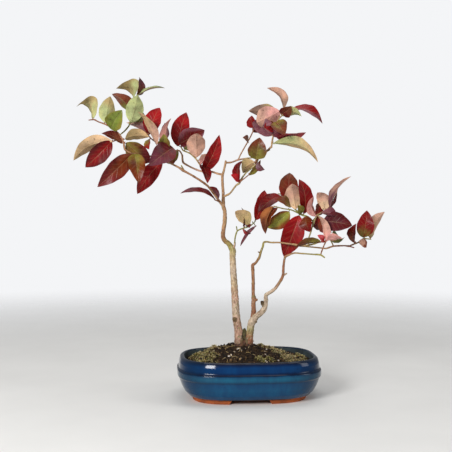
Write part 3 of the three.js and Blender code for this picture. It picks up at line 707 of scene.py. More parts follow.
@dataclass(frozen=True)
class Stem:
    """A tapered, slightly uneven tube of wood."""

    tones: tuple[Colour, ...]
    sides: int = 10
    lumps: float = 0.05
    age: float = 0.0
    rings: float = 0.0
    ring_height: float = 0.16
    ring_width: float = 0.7
    grain_scale: float = 0.45
    # The colour of the painted shade in the stem's hollows.
    hollow_shade: Colour = (0.05, 0.035, 0.025)
    end_depth: float = 0.62
    end_shoulder: float = 0.45

    def tone(self, share: float) -> Colour:
        """Returns the wood's colour at a share of the stem's length."""
        place = min(share, 0.9999) * (len(self.tones) - 1)
        return blend(self.tones[int(place)], self.tones[int(place) + 1], place - int(place))

    def swelling(self, run: float) -> float:
        """Finds how much a leaf scar's ring widens the stem.

        Args:
            run: the distance along the stem.

        Returns:
            The added share of the radius.
        """
        if not self.rings:
            return 0.0
        off = (run % self.rings) - self.rings / 2
        return self.ring_height * math.exp(-((off / self.ring_width) ** 2))

    def grow(self, skin: Skin, knots: Sequence[Knot]) -> None:
        """Adds the tube to a skin, with rounded ends.

        Args:
            skin: the mesh that it joins.
            knots: the stations from start to end.
        """
        heading = (knots[1].centre - knots[0].centre).normalized()
        across = heading.cross(Vector((0.3, 1.0, 0.1))).normalized()
        total = knots[-1].run or 1.0
        rows: list[list[int]] = []
        for i, knot in enumerate(knots):
            after, before = knots[min(i + 1, len(knots) - 1)], knots[max(i - 1, 0)]
            heading = (after.centre - before.centre).normalized()
            across = (across - heading * across.dot(heading)).normalized()
            other = heading.cross(across)
            wide = knot.radius * (1 + self.swelling(knot.run))
            row = []
            for j in range(self.sides):
                angle = 2 * math.pi * j / self.sides
                out = across * math.cos(angle) + other * math.sin(angle)
                grain = (knot.radius * math.cos(angle), knot.radius * math.sin(angle), knot.run + total)
                rough = noise.fractal(Vector(grain) * self.grain_scale + knots[0].centre * 0.1, 0.8, 2.1, 4)
                # Painted shade: where the noise sinks the surface, the colour darkens towards the hollow
                # shade; on stems without lumps nothing sinks, and it is only a random darker tone.
                shade = blend(self.tone(knot.run / total), self.hollow_shade, 0.25 * max(0.0, -rough))
                place = knot.centre + out * wide * (1 + self.lumps * rough)
                age = self.age * (1 - 0.7 * knot.run / total)
                row.append(skin.point(place, shade, grain=grain, age=age))
            rows.append(row)
        skin.loft(rows)
        self.close(skin, rows[0], knots[0], knots[1], False)
        self.close(skin, rows[-1], knots[-1], knots[-2], True)

    def close(self, skin: Skin, row: Sequence[int], knot: Knot, near: Knot, last: bool) -> None:
        """Rounds one end of the tube.

        Args:
            skin: the mesh that it joins.
            row: the end ring's points.
            knot: the end station.
            near: the station next to it.
            last: whether it is the far end.
        """
        outward = (knot.centre - near.centre).normalized()
        tone = self.tone(1.0 if last else 0.0)
        ring = []
        for number in row:
            place = knot.centre.lerp(skin.points[number], self.end_depth)
            place += outward * knot.radius * self.end_shoulder
            ring.append(skin.point(place, tone, grain=skin.grains[number]))
        peak = knot.centre + outward * knot.radius * self.end_depth
        cap = skin.point(peak, tone, grain=skin.grains[row[0]])
        for i in range(len(row)):
            j = (i + 1) % len(row)
            a, b = (i, j) if last else (j, i)
            skin.face(row[a], row[b], ring[b], ring[a])
            skin.face(ring[a], ring[b], cap)


@dataclass(frozen=True)
class Limb:
    """A stretch of bare wood: its name, readings and colours, and how old it is."""

    name: str
    readings: tuple[Reading, ...]
    tones: tuple[Bark, ...]
    sides: int = 10
    lumps: float = 0.06
    age: float = 0.0
    rings: float = 0.0

    def grow(self, skin: Skin) -> None:
        """Adds the wood to a skin, in shorter steps where it is thick.

        Args:
            skin: the mesh that it joins.
        """
        step = 0.9 if self.sides > 12 else 1.1
        stem = Stem(tones_of(self.tones), self.sides, self.lumps, self.age, self.rings)
        stem.grow(skin, smooth_path(self.readings, step))


@dataclass(frozen=True)
class Trunk:
    """The root crown, both stems and every bare branch, stub and bud.

    The crown's rows are a height and the half widths there. A root is its direction, reach and radius.
    """

    limbs: tuple[Limb, ...]
    crown_x: float = -4.5
    crown_sides: int = 40
    crown_lumps: float = 0.12
    # The crown is coloured between these two: painted light on its bulges and painted shade in its hollows.
    crown_painted_light: Colour = colour_of(0x6A4630)
    crown_painted_shade: Colour = colour_of(0x2E1C12)
    crown: tuple[Triple, ...] = (
        (41.0, 6.0, 5.0), (45.0, 8.5, 6.0), (50.0, 11.0, 6.8), (53.5, 12.0, 7.2), (55.5, 10.5, 6.4),
        (57.0, 8.0, 5.0), (58.0, 4.5, 2.8),
    )
    root_tones: tuple[Colour, ...] = (colour_of(0x6E4A34), colour_of(0x3A2519), colour_of(0x2A1A10))
    root_top: float = 58.5
    root_start: float = 4.5
    root_drop: float = 8.5
    root_flatness: float = 0.62
    root_steps: int = 8
    roots: tuple[Triple, ...] = (
        (200.0, 15.0, 1.7), (235.0, 13.5, 1.5), (265.0, 12.5, 1.9), (298.0, 13.0, 1.6), (330.0, 15.5, 1.8),
        (20.0, 14.5, 1.5), (75.0, 12.0, 1.6), (120.0, 12.5, 1.8), (160.0, 14.0, 1.5),
    )

    def grow_crown(self, skin: Skin) -> None:
        """Adds the swollen crown, from its rows of height and half widths.

        Args:
            skin: the mesh that it joins.
        """
        rows = []
        for z, half_x, half_y in self.crown:
            row = []
            for j in range(self.crown_sides):
                angle = 2 * math.pi * j / self.crown_sides
                grain = (half_x * math.cos(angle), half_y * math.sin(angle), z)
                place = Vector((self.crown_x + grain[0], grain[1], z))
                rough = noise.fractal(place * 0.35, 0.9, 2.0, 5)
                place = Vector((self.crown_x, 0, z)).lerp(place, 1 + self.crown_lumps * rough)
                # Painted light and shade: lighter where the noise swells the crown, darker where it sinks.
                shade = blend(self.crown_painted_light, self.crown_painted_shade, 0.5 - 0.6 * rough)
                row.append(skin.point(place, shade, grain=grain, age=0.1))
            rows.append(row)
        skin.loft(rows, capped=True)

    def grow_roots(self, skin: Skin) -> None:
        """Adds the roots that run over the soil, from their rows of direction, reach and radius.

        Args:
            skin: the mesh that they join.
        """
        for turn, reach, radius in self.roots:
            heading = math.radians(turn)
            way = Vector((math.cos(heading), self.root_flatness * math.sin(heading), 0))
            start = Vector((self.crown_x, 0, self.root_top)) + way * self.root_start
            knots = []
            for i in range(self.root_steps + 1):
                t = i / self.root_steps
                wiggle = Vector((-way.y, way.x, 0)) * math.sin(3.4 * t + turn) * 0.8
                drop = Vector((0, 0, -self.root_drop * t**1.4))
                place = start + way * (reach - self.root_start) * t + wiggle + drop
                knots.append(Knot(place, radius * (1.25 - 0.75 * t), reach * t))
            Stem(self.root_tones, 8, 0.14).grow(skin, knots)

    def build(self, bark: Material) -> Object:
        """Makes the wood in one piece.

        Args:
            bark: its material.

        Returns:
            The piece that stands for the trunk.
        """
        skin = Skin()
        self.grow_crown(skin)
        self.grow_roots(skin)
        for limb in self.limbs:
            limb.grow(skin)
        made = skin.build("stems_and_branches", [bark])
        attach(made, "root")
        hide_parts("trunk")
        return made


@dataclass(frozen=True)
class Leaf:
    """One leaf, as read from the front.

    The readings are the base and the tip, then how much deeper the tip lies, the width, the side that faces
    the front, how far that side turns to the leaf's right in degrees, how far the blade arches to its upper
    side, the two colours, how they are laid out, where along the blade the one gives way to the other, and
    where along the blade it arches most.
    """

    base_across: float
    base_up: float
    tip_across: float
    tip_up: float
    deeper: float
    width: float
    side: Side
    roll: float
    arch: float
    first: Tint
    second: Tint
    pattern: Pattern = Pattern.TIP
    turn: float = 0.5
    peak: float = 0.5


@dataclass(frozen=True)
class BladeShape:
    """What all the blades share.

    A wave is its share of the ripple, then how fast it runs along, shifts from leaf to leaf and runs across.
    """

    stations: int = 18
    lanes: tuple[float, ...] = (-1.0, -0.86, -0.64, -0.4, -0.18, -0.05, 0.0, 0.05, 0.18, 0.4, 0.64, 0.86, 1.0)
    thickness: float = 0.34
    edge_thinning: float = 0.6
    keel: float = 0.35
    keel_half: float = 0.08
    groove: float = 0.1
    groove_half: float = 0.04
    stalk: float = 0.5
    fold: float = 16.0
    low: float = 0.82
    full: float = 0.86
    ripple: float = 0.07
    waves: tuple[tuple[float, float, float, float], ...] = ((1.0, 1.6, 0.31, 0.2), (0.35, 4.3, 0.7, 0.4))
    base_depth: float = 0.12
    fade: float = 0.68
    pale_above: Colour = colour_of(0xC29A84)
    dark_beneath: Colour = colour_of(0x7A1C20)

    def tint_at(self, leaf: Leaf, t: float, s: float, upper: bool, seed: float) -> Colour:
        """Finds a blade's colour at a point.

        Args:
            leaf: the leaf.
            t: how far along it, from 0 at the stalk to 1 at the tip.
            s: how far across it, from -1 to 1.
            upper: whether the point is on the upper side.
            seed: a number that differs from leaf to leaf.

        Returns:
            The linear colour.
        """
        uneven = noise.fractal(Vector((2.2 * t + seed, 1.6 * s, seed * 1.7)), 0.9, 2.0, 3) * 0.4
        if leaf.pattern is Pattern.TIP:
            share = ease(leaf.turn - 0.35, leaf.turn + 0.35, t + 0.12 * abs(s) + uneven)
        elif leaf.pattern is Pattern.EDGE:
            share = ease(0.25, 0.95, abs(s) * (0.75 + 0.35 * t) + uneven)
        else:
            share = ease(-0.3, 0.3, s + uneven)
        seen = blend(leaf.first.colour, leaf.second.colour, share)
        if upper == (leaf.side is Side.UPPER):
            return seen
        return blend(seen, self.pale_above if leaf.side is Side.UPPER else self.dark_beneath, self.fade)

    def lift(self, t: float, s: float, half: float, upper: bool, seed: float) -> float:
        """Finds how far a blade's skin stands off the plane of its midrib.

        Args:
            t: how far along it.
            s: how far across it, from -1 to 1.
            half: the half width there.
            upper: whether it is the upper skin.
            seed: a number that differs from leaf to leaf.

        Returns:
            The height: the cup, the ripples, the thickness, and the midrib's groove above or keel beneath.
        """
        edge = abs(s)
        wave = edge**1.5 * half * self.ripple
        ripple = 0.0
        for height, along, shift, across in self.waves:
            ripple += height * wave * math.sin(2 * math.pi * (along * t + shift * seed + across * s))
        cup = edge**1.2 * half * math.sin(math.radians(self.fold))
        skin = (0.5 if upper else -0.5) * self.thickness * (1 - self.edge_thinning * edge)
        if upper:
            rib = self.groove if edge < self.groove_half else 0.0
        else:
            rib = self.keel * (1 - t) * max(0.0, 1 - edge / self.keel_half)
        return cup + ripple + skin - rib

    def half_width(self, leaf: Leaf, t: float, seed: float) -> float:
        """Finds a blade's half width, a little uneven.

        Args:
            leaf: the leaf.
            t: how far along it.
            seed: a number that differs from leaf to leaf.

        Returns:
            The half width in millimetres.
        """
        swell = max(0.0, math.sin(math.pi * t**self.low)) ** self.full
        half = max(self.stalk * (1 - t) + 0.06, leaf.width / 2 * swell)
        return half * (1 + 0.02 * math.sin(23 * t + 5 * seed))

    def grow(self, skin: Skin, leaf: Leaf, depth: float, seed: float) -> Vector:
        """Adds a leaf's blade to a skin.

        Args:
            skin: the mesh that it joins.
            leaf: the leaf.
            depth: how deep the twig lies where the stalk leaves it.
            seed: a number that differs from leaf to leaf.

        Returns:
            The blade's base, where its stalk ends.
        """
        base = VIEW.place(leaf.base_across, leaf.base_up, depth + self.base_depth * leaf.deeper)
        tip = VIEW.place(leaf.tip_across, leaf.tip_up, depth + leaf.deeper)
        along = tip - base
        heading = along.normalized()
        seen = (VIEW.front - heading * VIEW.front.dot(heading)).normalized()
        upper = Quaternion(heading, math.radians(leaf.roll)) @ seen * leaf.side.value
        side = heading.cross(upper)
        skew = math.log(0.5) / math.log(leaf.peak)

        def centre(t: float) -> Vector:
            """Returns the midrib's place at a share of the blade's length."""
            bow = t**skew
            return base + along * t + upper * leaf.arch * 4 * bow * (1 - bow)

        top: list[list[int]] = []
        bottom: list[list[int]] = []
        for i in range(self.stations + 1):
            t = i / self.stations
            tangent = (centre(min(1.0, t + 0.01)) - centre(max(0.0, t - 0.01))).normalized()
            normal = side.cross(tangent).normalized()
            if normal.dot(upper) < 0:
                normal = -normal
            half = self.half_width(leaf, t, seed)
            reach = math.cos(math.radians(self.fold))
            for above, grid in ((True, top), (False, bottom)):
                row = []
                for s in self.lanes:
                    place = centre(t) + side * s * half * reach + normal * self.lift(t, s, half, above, seed)
                    mark = (t, s, 1.0 if above else 0.0)
                    row.append(skin.point(place, self.tint_at(leaf, t, s, above, seed), blade=mark))
                grid.append(row)
        self.close(skin, top, bottom)
        return base

    def close(self, skin: Skin, top: list[list[int]], bottom: list[list[int]]) -> None:
        """Adds a blade's faces.

        Args:
            skin: the mesh that they join.
            top: the points of the upper skin, row by row.
            bottom: the points of the lower skin.
        """
        for a, b in zip(top, top[1:]):
            skin.bridge(a, b, closed=False)
        for a, b in zip(bottom, bottom[1:]):
            for j in range(len(a) - 1):
                skin.face(a[j + 1], a[j], b[j], b[j + 1])
        for i in range(len(top) - 1):
            skin.face(top[i + 1][0], bottom[i + 1][0], bottom[i][0], top[i][0])
            skin.face(top[i][-1], bottom[i][-1], bottom[i + 1][-1], top[i + 1][-1])
        for upper, lower, forward in ((top[0], bottom[0], True), (top[-1], bottom[-1], False)):
            for j in range(len(upper) - 1):
                corners = (upper[j], lower[j], lower[j + 1], upper[j + 1])
                skin.face(*(corners if forward else reversed(corners)))


@dataclass(frozen=True)
class Shoot:
    """A leafy twig with side twigs, leaves, stalks and buds."""

    node: str
    twigs: tuple[tuple[Reading, ...], ...]
    leaves: tuple[Leaf, ...]
    tones: tuple[Bark, Bark]
    root_inset: float = 1.1
    inset_share: float = 0.4
    bud_colour: Colour = colour_of(0x8E3A34)
    bud: tuple[tuple[float, float], ...] = ((0.0, 0.35), (0.45, 0.55), (1.0, 0.45), (1.5, 0.22), (1.9, 0.05))

    def root_of(self, leaf: Leaf) -> Triple:
        """Finds the twig's nearest point to a leaf's base.

        Args:
            leaf: the leaf.

        Returns:
            That point's readings: across, up and depth.
        """
        best = (math.inf, (0.0, 0.0, 0.0))
        for twig in self.twigs:
            for (a0, u0, d0, _), (a1, u1, d1, _) in zip(twig, twig[1:]):
                length = math.hypot(a1 - a0, u1 - u0)
                inset = min(self.inset_share, self.root_inset / length)
                share = ((leaf.base_across - a0) * (a1 - a0) + (leaf.base_up - u0) * (u1 - u0)) / length**2
                t = min(1 - inset, max(inset, share))
                near = (a0 + (a1 - a0) * t, u0 + (u1 - u0) * t, d0 + (d1 - d0) * t)
                away = math.hypot(near[0] - leaf.base_across, near[1] - leaf.base_up)
                best = min(best, (away, near))
        return best[1]

    def build(self, shape: BladeShape, finishes: Sequence[Material], seed: int) -> Object:
        """Makes the shoot in one piece.

        Args:
            shape: what its blades share.
            finishes: the blades' material, then the twigs'.
            seed: a number that differs from shoot to shoot.

        Returns:
            The piece that stands for the shoot's node.
        """
        skin = Skin()
        skin.layer = 1
        for twig in self.twigs:
            Stem(tones_of(self.tones), sides=9, rings=9.0).grow(skin, smooth_path(twig, 0.8))
        for number, leaf in enumerate(self.leaves):
            root = self.root_of(leaf)
            skin.layer = 0
            base = shape.grow(skin, leaf, root[2], seed * 1.37 + number * 0.61)
            self.grow_stalk(skin, shape, leaf, VIEW.place(*root), base)
        made = skin.build(self.node.replace("shoot", "leaves"), finishes, 50.0)
        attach(made, "root")
        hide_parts(self.node)
        return made

    def grow_stalk(self, skin: Skin, shape: BladeShape, leaf: Leaf, root: Vector, base: Vector) -> None:
        """Adds a leaf's stalk and the bud in its angle.

        Args:
            skin: the mesh that they join.
            shape: what all the blades share.
            leaf: the leaf.
            root: where the stalk leaves the twig.
            base: where the blade begins.
        """
        tip = VIEW.place(leaf.tip_across, leaf.tip_up, 0.0)
        flat = VIEW.place(leaf.base_across, leaf.base_up, 0.0)
        heading = (tip - flat).normalized()
        end = base + heading * 1.2
        length = max(0.6, (end - root).length)
        knots = []
        steps = 6
        for i in range(steps + 1):
            t = i / steps
            place = root.lerp(end, t) + heading * length * 0.12 * t * (1 - t)
            knots.append(Knot(place, shape.stalk * (1.15 - 0.45 * t), length * t))
        skin.layer = 1
        stalk = blend(self.tones[1].colour, leaf.first.colour, 0.45)
        Stem((stalk, stalk), 7, 0.0).grow(skin, knots)
        foot = root + (heading + UP * 0.8).normalized() * 0.9
        lean = (heading * 0.4 + UP).normalized()
        tones = (self.bud_colour, blend(self.bud_colour, self.tones[0].colour, 0.5))
        Stem(tones, 6, 0.0).grow(skin, [Knot(foot + lean * run, radius, run) for run, radius in self.bud])


@dataclass(frozen=True)
class Pot:
    """The glazed pot: a rounded oblong with a lip, a stepped belt, corner feet and drain holes.

    The outside and the inside are rows of a height and how far the wall lies inside the widest line there.
    """

    half_length: float = 77.5
    half_depth: float = 60.0
    bluntness: float = 3.0
    sides: int = 176
    wall: float = 6.0
    foot_height: float = 4.5
    outside: tuple[tuple[float, float], ...] = (
        (4.5, 14.5), (5.2, 12.0), (10.0, 7.5), (16.0, 4.4), (24.2, 1.5), (25.5, 0.2), (31.9, 0.0),
        (33.6, 1.9), (39.5, 2.4), (43.4, 3.7), (45.0, 6.2), (44.6, 8.0),
    )
    inside: tuple[tuple[float, float], ...] = ((36.0, 10.2), (24.0, 12.0), (13.0, 15.5), (10.0, 20.0))
    edge_radius: float = 0.9
    sharpest: float = 32.0
    clay_below: float = 4.8
    lip_above: float = 43.5
    foot_outer: float = 16.0
    foot_inner: float = 27.0
    gap_x: float = 23.0
    gap_middle: float = -2.5
    gap_y: float = 15.0
    slant: float = 4.5
    drain_across: float = 34.0
    drain_radius: float = 8.0
    drain_sides: int = 48

    def ring(self, inset: float, z: float, sides: int = 0) -> list[Vector]:
        """Draws the footprint at a height.

        Args:
            inset: how far inside the widest line.
            z: the height.
            sides: how many points, or 0 for the pot's own number.

        Returns:
            The ring's points, anticlockwise from above.
        """
        count = sides or self.sides
        power = 2 / self.bluntness
        points = []
        for i in range(count):
            angle = 2 * math.pi * (i + 0.5) / count
            c, s = math.cos(angle), math.sin(angle)
            x = (self.half_length - inset) * math.copysign(abs(c) ** power, c)
            y = (self.half_depth - inset) * math.copysign(abs(s) ** power, s)
            points.append(Vector((x, y, z)))
        return points

    def reach(self, x: float, y: float, inset: float = 0.0) -> float:
        """Returns how far out a place lies, from 0 at the middle to 1 at a footprint that much inside."""
        u, v = x / (self.half_length - inset), y / (self.half_depth - inset)
        return (abs(u) ** self.bluntness + abs(v) ** self.bluntness) ** (1 / self.bluntness)

    def inset_at(self, z: float) -> float:
        """Finds how far the outer wall lies inside the widest line.

        Args:
            z: the height.

        Returns:
            The inset in millimetres.
        """
        for (low, first), (high, second) in zip(self.outside, self.outside[1:]):
            if z <= high:
                return first + (second - first) * max(0.0, z - low) / (high - low)
        return self.outside[-1][1]

    def profile(self) -> list[tuple[float, float]]:
        """Returns the wall's heights and insets, from the foot over the lip to the floor."""
        row = [Vector((z, inset)) for z, inset in (*self.outside, *self.inside)]
        made = [row[0]]
        for before, corner, after in zip(row, row[1:], row[2:]):
            start = corner.lerp(before, min(0.45, self.edge_radius / (corner - before).length))
            end = corner.lerp(after, min(0.45, self.edge_radius / (corner - after).length))
            for t in (0.0, 0.25, 0.5, 0.75, 1.0):
                made.append(start.lerp(corner, t).lerp(corner.lerp(end, t), t))
        made.append(row[-1])
        return [(p[0], p[1]) for p in made]

    def loft(self, rings: Sequence[Sequence[Vector]], name: str) -> Object:
        """Makes a closed solid through rings.

        Args:
            rings: the rings from bottom to top.
            name: the object's name.

        Returns:
            The solid.
        """
        skin = Skin()
        skin.loft([[skin.point(p, WHITE) for p in ring] for ring in rings], capped=True)
        return skin.build(name)

    def block(self, corners: Sequence[Vector], push: Vector, name: str) -> Object:
        """Makes a straight prism.

        Args:
            corners: its outline.
            push: from this outline to the opposite one.
            name: the object's name.

        Returns:
            The solid, with its faces turned outwards.
        """
        made = self.loft([corners, [p + push for p in corners]], name)
        work = bmesh.new()
        work.from_mesh(made.data)
        bmesh.ops.recalc_face_normals(work, faces=work.faces)
        work.to_mesh(made.data)
        work.free()
        return made

    def carve(self, target: Object, cutter: Object, way: str) -> None:
        """Joins or cuts one solid with another, and removes the other.

        Args:
            target: the solid that is kept.
            cutter: the solid that is used up.
            way: UNION or DIFFERENCE.
        """
        step = target.modifiers.new("cut", "BOOLEAN")
        step.operation = way
        step.object = cutter
        step.solver = "MANIFOLD"
        depsgraph = bpy.context.evaluated_depsgraph_get()
        mesh = bpy.data.meshes.new_from_object(target.evaluated_get(depsgraph))
        target.modifiers.clear()
        old, target.data = target.data, mesh
        bpy.data.meshes.remove(old)
        bpy.data.objects.remove(cutter)

    def feet(self) -> Object:
        """Makes the four corner feet in one object."""
        crest = self.foot_height + 0.3
        profile = ((0.6, 0.0), (0.0, 0.6), (-1.0, crest))
        feet = self.loft([self.ring(self.foot_outer + inset, z) for inset, z in profile], "feet")
        core = self.loft([self.ring(self.foot_inner, z) for z in (-1.0, self.foot_height + 2)], "core")
        self.carve(feet, core, "DIFFERENCE")
        far = 2 * self.half_length
        for span, through in ((self.gap_x, Vector((0, far, 0))), (self.gap_y, Vector((far, 0, 0)))):
            across = Vector((1, 0, 0)) if through.y else Vector((0, 1, 0))
            middle = Vector((self.gap_middle if through.y else 0.0, 0, 0)) - through
            top = span - self.slant
            outline = ((-span, -1.0), (span, -1.0), (top, crest + 1), (-top, crest + 1))
            corners = [middle + across * u + UP * z for u, z in outline]
            self.carve(feet, self.block(corners, 2 * through, "gap"), "DIFFERENCE")
        return feet

    def build(self, glaze: Material, clay: Material, inner: Material) -> Object:
        """Makes the pot.

        Args:
            glaze: the material of the outside and the lip.
            clay: the material of the feet and the underside.
            inner: the material of the inner wall and floor.

        Returns:
            The piece that stands for the pot.
        """
        pot = self.loft([self.ring(inset, z) for z, inset in self.profile()], "glazed_pot")
        self.carve(pot, self.feet(), "UNION")
        turns = [2 * math.pi * i / self.drain_sides for i in range(self.drain_sides)]
        r = self.drain_radius
        for x in (-self.drain_across, self.drain_across):
            circle = [Vector((x + r * math.cos(a), r * math.sin(a), 0)) for a in turns]
            self.carve(pot, self.block(circle, Vector((0, 0, 20)), "drain"), "DIFFERENCE")
        mesh = pot.data
        mesh.materials.clear()
        for finish in (glaze, clay, inner):
            mesh.materials.append(finish)
        for face in mesh.polygons:
            centre = face.center / MM - ORIGIN
            depth = (1 - self.reach(centre.x, centre.y)) * self.half_length
            inside = depth > self.inset_at(centre.z) + self.wall / 2
            if centre.z < self.clay_below:
                face.material_index = 1
            else:
                face.material_index = 2 if inside and centre.z < self.lip_above else 0
        mesh.shade_smooth()
        mesh.set_sharp_from_angle(angle=math.radians(self.sharpest))
        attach(pot, "root")
        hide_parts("pot")
        return pot


@dataclass(frozen=True)
class Clump:
    """A cushion of moss on the soil: its middle, half widths, height and how yellow it is."""

    x: float
    y: float
    half_x: float
    half_y: float
    height: float
    dry: float

    def share(self, x: float, y: float) -> float:
        """Returns how far inside the cushion a place is, from 0 at its edge to 1."""
        away = math.hypot((x - self.x) / self.half_x, (y - self.y) / self.half_y)
        return max(0.0, 1 - away * (1 + 0.25 * noise.noise(Vector((x * 0.2, y * 0.2, self.x)))))


@dataclass(frozen=True)
class Soil:
    """The mound in the pot, with crumbs, moss, white grit and straw on it.

    The body's rows are a height and an inset. A dip is its middle, half widths and depth. A piece of grit is
    its readings across and up and its radius.
    """

    pot: Pot
    top: float = 55.5
    edge: float = 38.5
    peak_x: float = -8.0
    peak_y: float = 2.0
    fall: float = 1.7
    steepness: float = 1.15
    right_drop: float = 0.18
    wall: float = 10.2
    lumpiness: float = 1.5
    body: tuple[tuple[float, float], ...] = ((10.3, 20.2), (13.0, 15.8), (24.0, 12.3), (36.0, 10.5))
    rings: int = 66
    turns: int = 180
    earth_dark: Colour = colour_of(0x150D07)
    earth_light: Colour = colour_of(0x32220F)
    earth_mossy: Colour = colour_of(0x3A3414)
    earth_deep: Colour = colour_of(0x1E150C)
    rim_share: float = 0.97
    stems_x: float = -4.5
    stems_half: tuple[float, float] = (9.6, 5.6)
    sight_start: float = -48.0
    sight_step: float = 0.8
    sight_steps: int = 120
    crumbs: int = 2600
    fine_crumb: tuple[float, float] = (0.35, 0.9)
    coarse_crumb: tuple[float, float] = (0.9, 1.9)
    coarse_every: int = 6
    crumb_shades: tuple[tuple[int, float], ...] = (
        (0x1A1009, 6), (0x2A1B10, 6), (0x3E2C1A, 4), (0x120B06, 5), (0x6A5236, 1.2), (0x2C1D0E, 5),
        (0x8A7250, 0.8),
    )
    loose_grit: int = 34
    grit_white: Colour = colour_of(0xC9BDB0)
    grit_brown: Colour = colour_of(0x8C7358)
    straws: int = 230
    straw_length: tuple[float, float] = (2.5, 8.0)
    straw_radius: float = 0.2
    straw_shades: tuple[int, ...] = (0xBBA06C, 0x8A7046, 0x5A4024, 0xD2BC90)
    tufts_a_square_mm: float = 2.1
    blades_a_tuft: int = 4
    blade_height: tuple[float, float] = (0.9, 2.3)
    flecked: float = 0.16
    creamy: float = 0.11
    moss_fresh: Colour = colour_of(0xA2A046)
    moss_dry: Colour = colour_of(0xE0CC98)
    # The dark colour at the moss blades' bases, a painted shade between them, which also darkens some whole
    # tufts at random.
    moss_shade_and_dark_tone: Colour = colour_of(0x1E1B0C)
    moss_cream: Colour = colour_of(0xF0E4BC)
    moss_rust: Colour = colour_of(0xA8683C)
    clumps: tuple[Clump, ...] = (
        Clump(-47, -22, 13, 20, 3.0, 0.45), Clump(-40, 6, 8, 9, 2.6, 0.8), Clump(-57, 2, 8, 12, 2.0, 0.2),
        Clump(20, 6, 11, 9, 1.6, 0.8), Clump(32, -8, 10, 10, 1.6, 0.7), Clump(44, -24, 14, 12, 2.2, 0.75),
        Clump(56, -8, 7, 12, 2.6, 0.4), Clump(14, -34, 12, 7, 1.8, 0.3), Clump(-14, 30, 14, 9, 2.4, 0.5),
        Clump(18, 32, 12, 9, 2.2, 0.4),
    )
    dips: tuple[tuple[float, float, float, float, float], ...] = (
        (44.0, 16.0, 16.0, 15.0, 5.0), (-30.0, -12.0, 9.0, 9.0, 3.0), (60.0, 20.0, 9.0, 12.0, 2.0),
    )
    grit: tuple[tuple[float, float, float], ...] = (
        (-11.0, 50.5, 1.5), (-15.3, 47.0, 1.3), (-20.5, 42.3, 1.4), (-32.5, 50.8, 1.0), (-18.5, 44.0, 0.9),
        (5.5, 59.0, 1.3), (18.7, 44.0, 1.1), (12.0, 51.6, 1.0), (3.4, 46.0, 0.8), (33.0, 37.6, 1.1),
        (19.0, 37.4, 1.0), (-35.0, 46.2, 0.8), (-20.5, 57.0, 0.8),
    )

    def share_at(self, x: float, y: float) -> float:
        """Finds how far out a place is on the mound.

        Args:
            x: the place along the pot.
            y: the place from front to back.

        Returns:
            0 at the mound's peak and 1 at the pot's wall.
        """
        share = 0.5
        for _ in range(8):
            inward = 1 - share
            share = min(1.0, self.pot.reach(x - self.peak_x * inward, y - self.peak_y * inward, self.wall))
        return share

    def height_at(self, x: float, y: float) -> float:
        """Finds the mound's height.

        Args:
            x: the place along the pot.
            y: the place from front to back.

        Returns:
            The height, with moss cushions and lumps.
        """
        share = self.share_at(x, y)
        inward = 1 - share
        a, b = self.pot.half_length - self.wall, self.pot.half_depth - self.wall
        reach = min(1.0, math.hypot((x - self.peak_x * inward) / a, (y - self.peak_y * inward) / b))
        swell = (1 - reach**self.fall) ** self.steepness
        side = 1 - self.right_drop * reach * min(1.0, max(0.0, x / 12.5))
        z = self.edge + (self.top - self.edge) * swell * side
        z += sum(c.height * ease(0.0, 0.55, c.share(x, y)) for c in self.clumps)
        for dip_x, dip_y, half_x, half_y, depth in self.dips:
            z -= depth * ease(0.0, 1.0, 1 - math.hypot((x - dip_x) / half_x, (y - dip_y) / half_y))
        rough = noise.fractal(Vector((x * 0.16, y * 0.16, 3.1)), 0.7, 2.1, 6)
        return z + self.lumpiness * rough * min(1.0, 0.35 + 3 * inward)

    def on_top(self, x: float, y: float, lift: float = 0.0) -> Vector:
        """Returns the place on the mound, or a little above it, at an x and a y."""
        return Vector((x, y, self.height_at(x, y) + lift))

    def ground_tint(self, x: float, y: float) -> Colour:
        """Finds the soil's colour.

        Args:
            x: the place along the pot.
            y: the place from front to back.

        Returns:
            The linear colour, greener under moss.
        """
        moss = max(c.share(x, y) for c in self.clumps)
        rough = noise.fractal(Vector((x * 0.3, y * 0.3, 9.0)), 0.8, 2.0, 4)
        earth = blend(self.earth_dark, self.earth_light, 0.5 + rough)
        return blend(earth, self.earth_mossy, ease(0.05, 0.4, moss))

    def build_mound(self, finish: Material) -> Object:
        """Makes the body of soil.

        Args:
            finish: its material.

        Returns:
            The piece that stands for the soil.
        """
        skin = Skin()
        rows = []
        for z, inset in self.body:
            rows.append([skin.point(p, self.earth_deep) for p in self.pot.ring(inset, z, self.turns)])
        rim = self.pot.ring(self.wall + 0.15, self.edge, self.turns)
        for i in range(self.rings):
            share = 1 - i / self.rings
            row = []
            for p in rim:
                x = p.x * share + self.peak_x * (1 - share)
                y = p.y * share + self.peak_y * (1 - share)
                row.append(skin.point(self.on_top(x, y), self.ground_tint(x, y)))
            rows.append(row)
        skin.loft(rows)
        skin.face(*reversed(rows[0]))
        middle = skin.point(self.on_top(self.peak_x, self.peak_y), self.earth_deep)
        for i in range(self.turns):
            skin.face(rows[-1][i], rows[-1][(i + 1) % self.turns], middle)
        made = skin.build("soil_mound", [finish], 80.0)
        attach(made, "root")
        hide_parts("soil")
        return made

    def spot(self, draw: random.Random) -> tuple[float, float]:
        """Draws a place on the soil.

        Args:
            draw: the seeded source of numbers.

        Returns:
            Its x and y.
        """
        a, b = self.pot.half_length - self.wall - 1, self.pot.half_depth - self.wall - 1
        while True:
            x, y = draw.uniform(-a, a), draw.uniform(-b, b)
            if self.pot.reach(x, y, self.wall + 1) < 1:
                return x, y

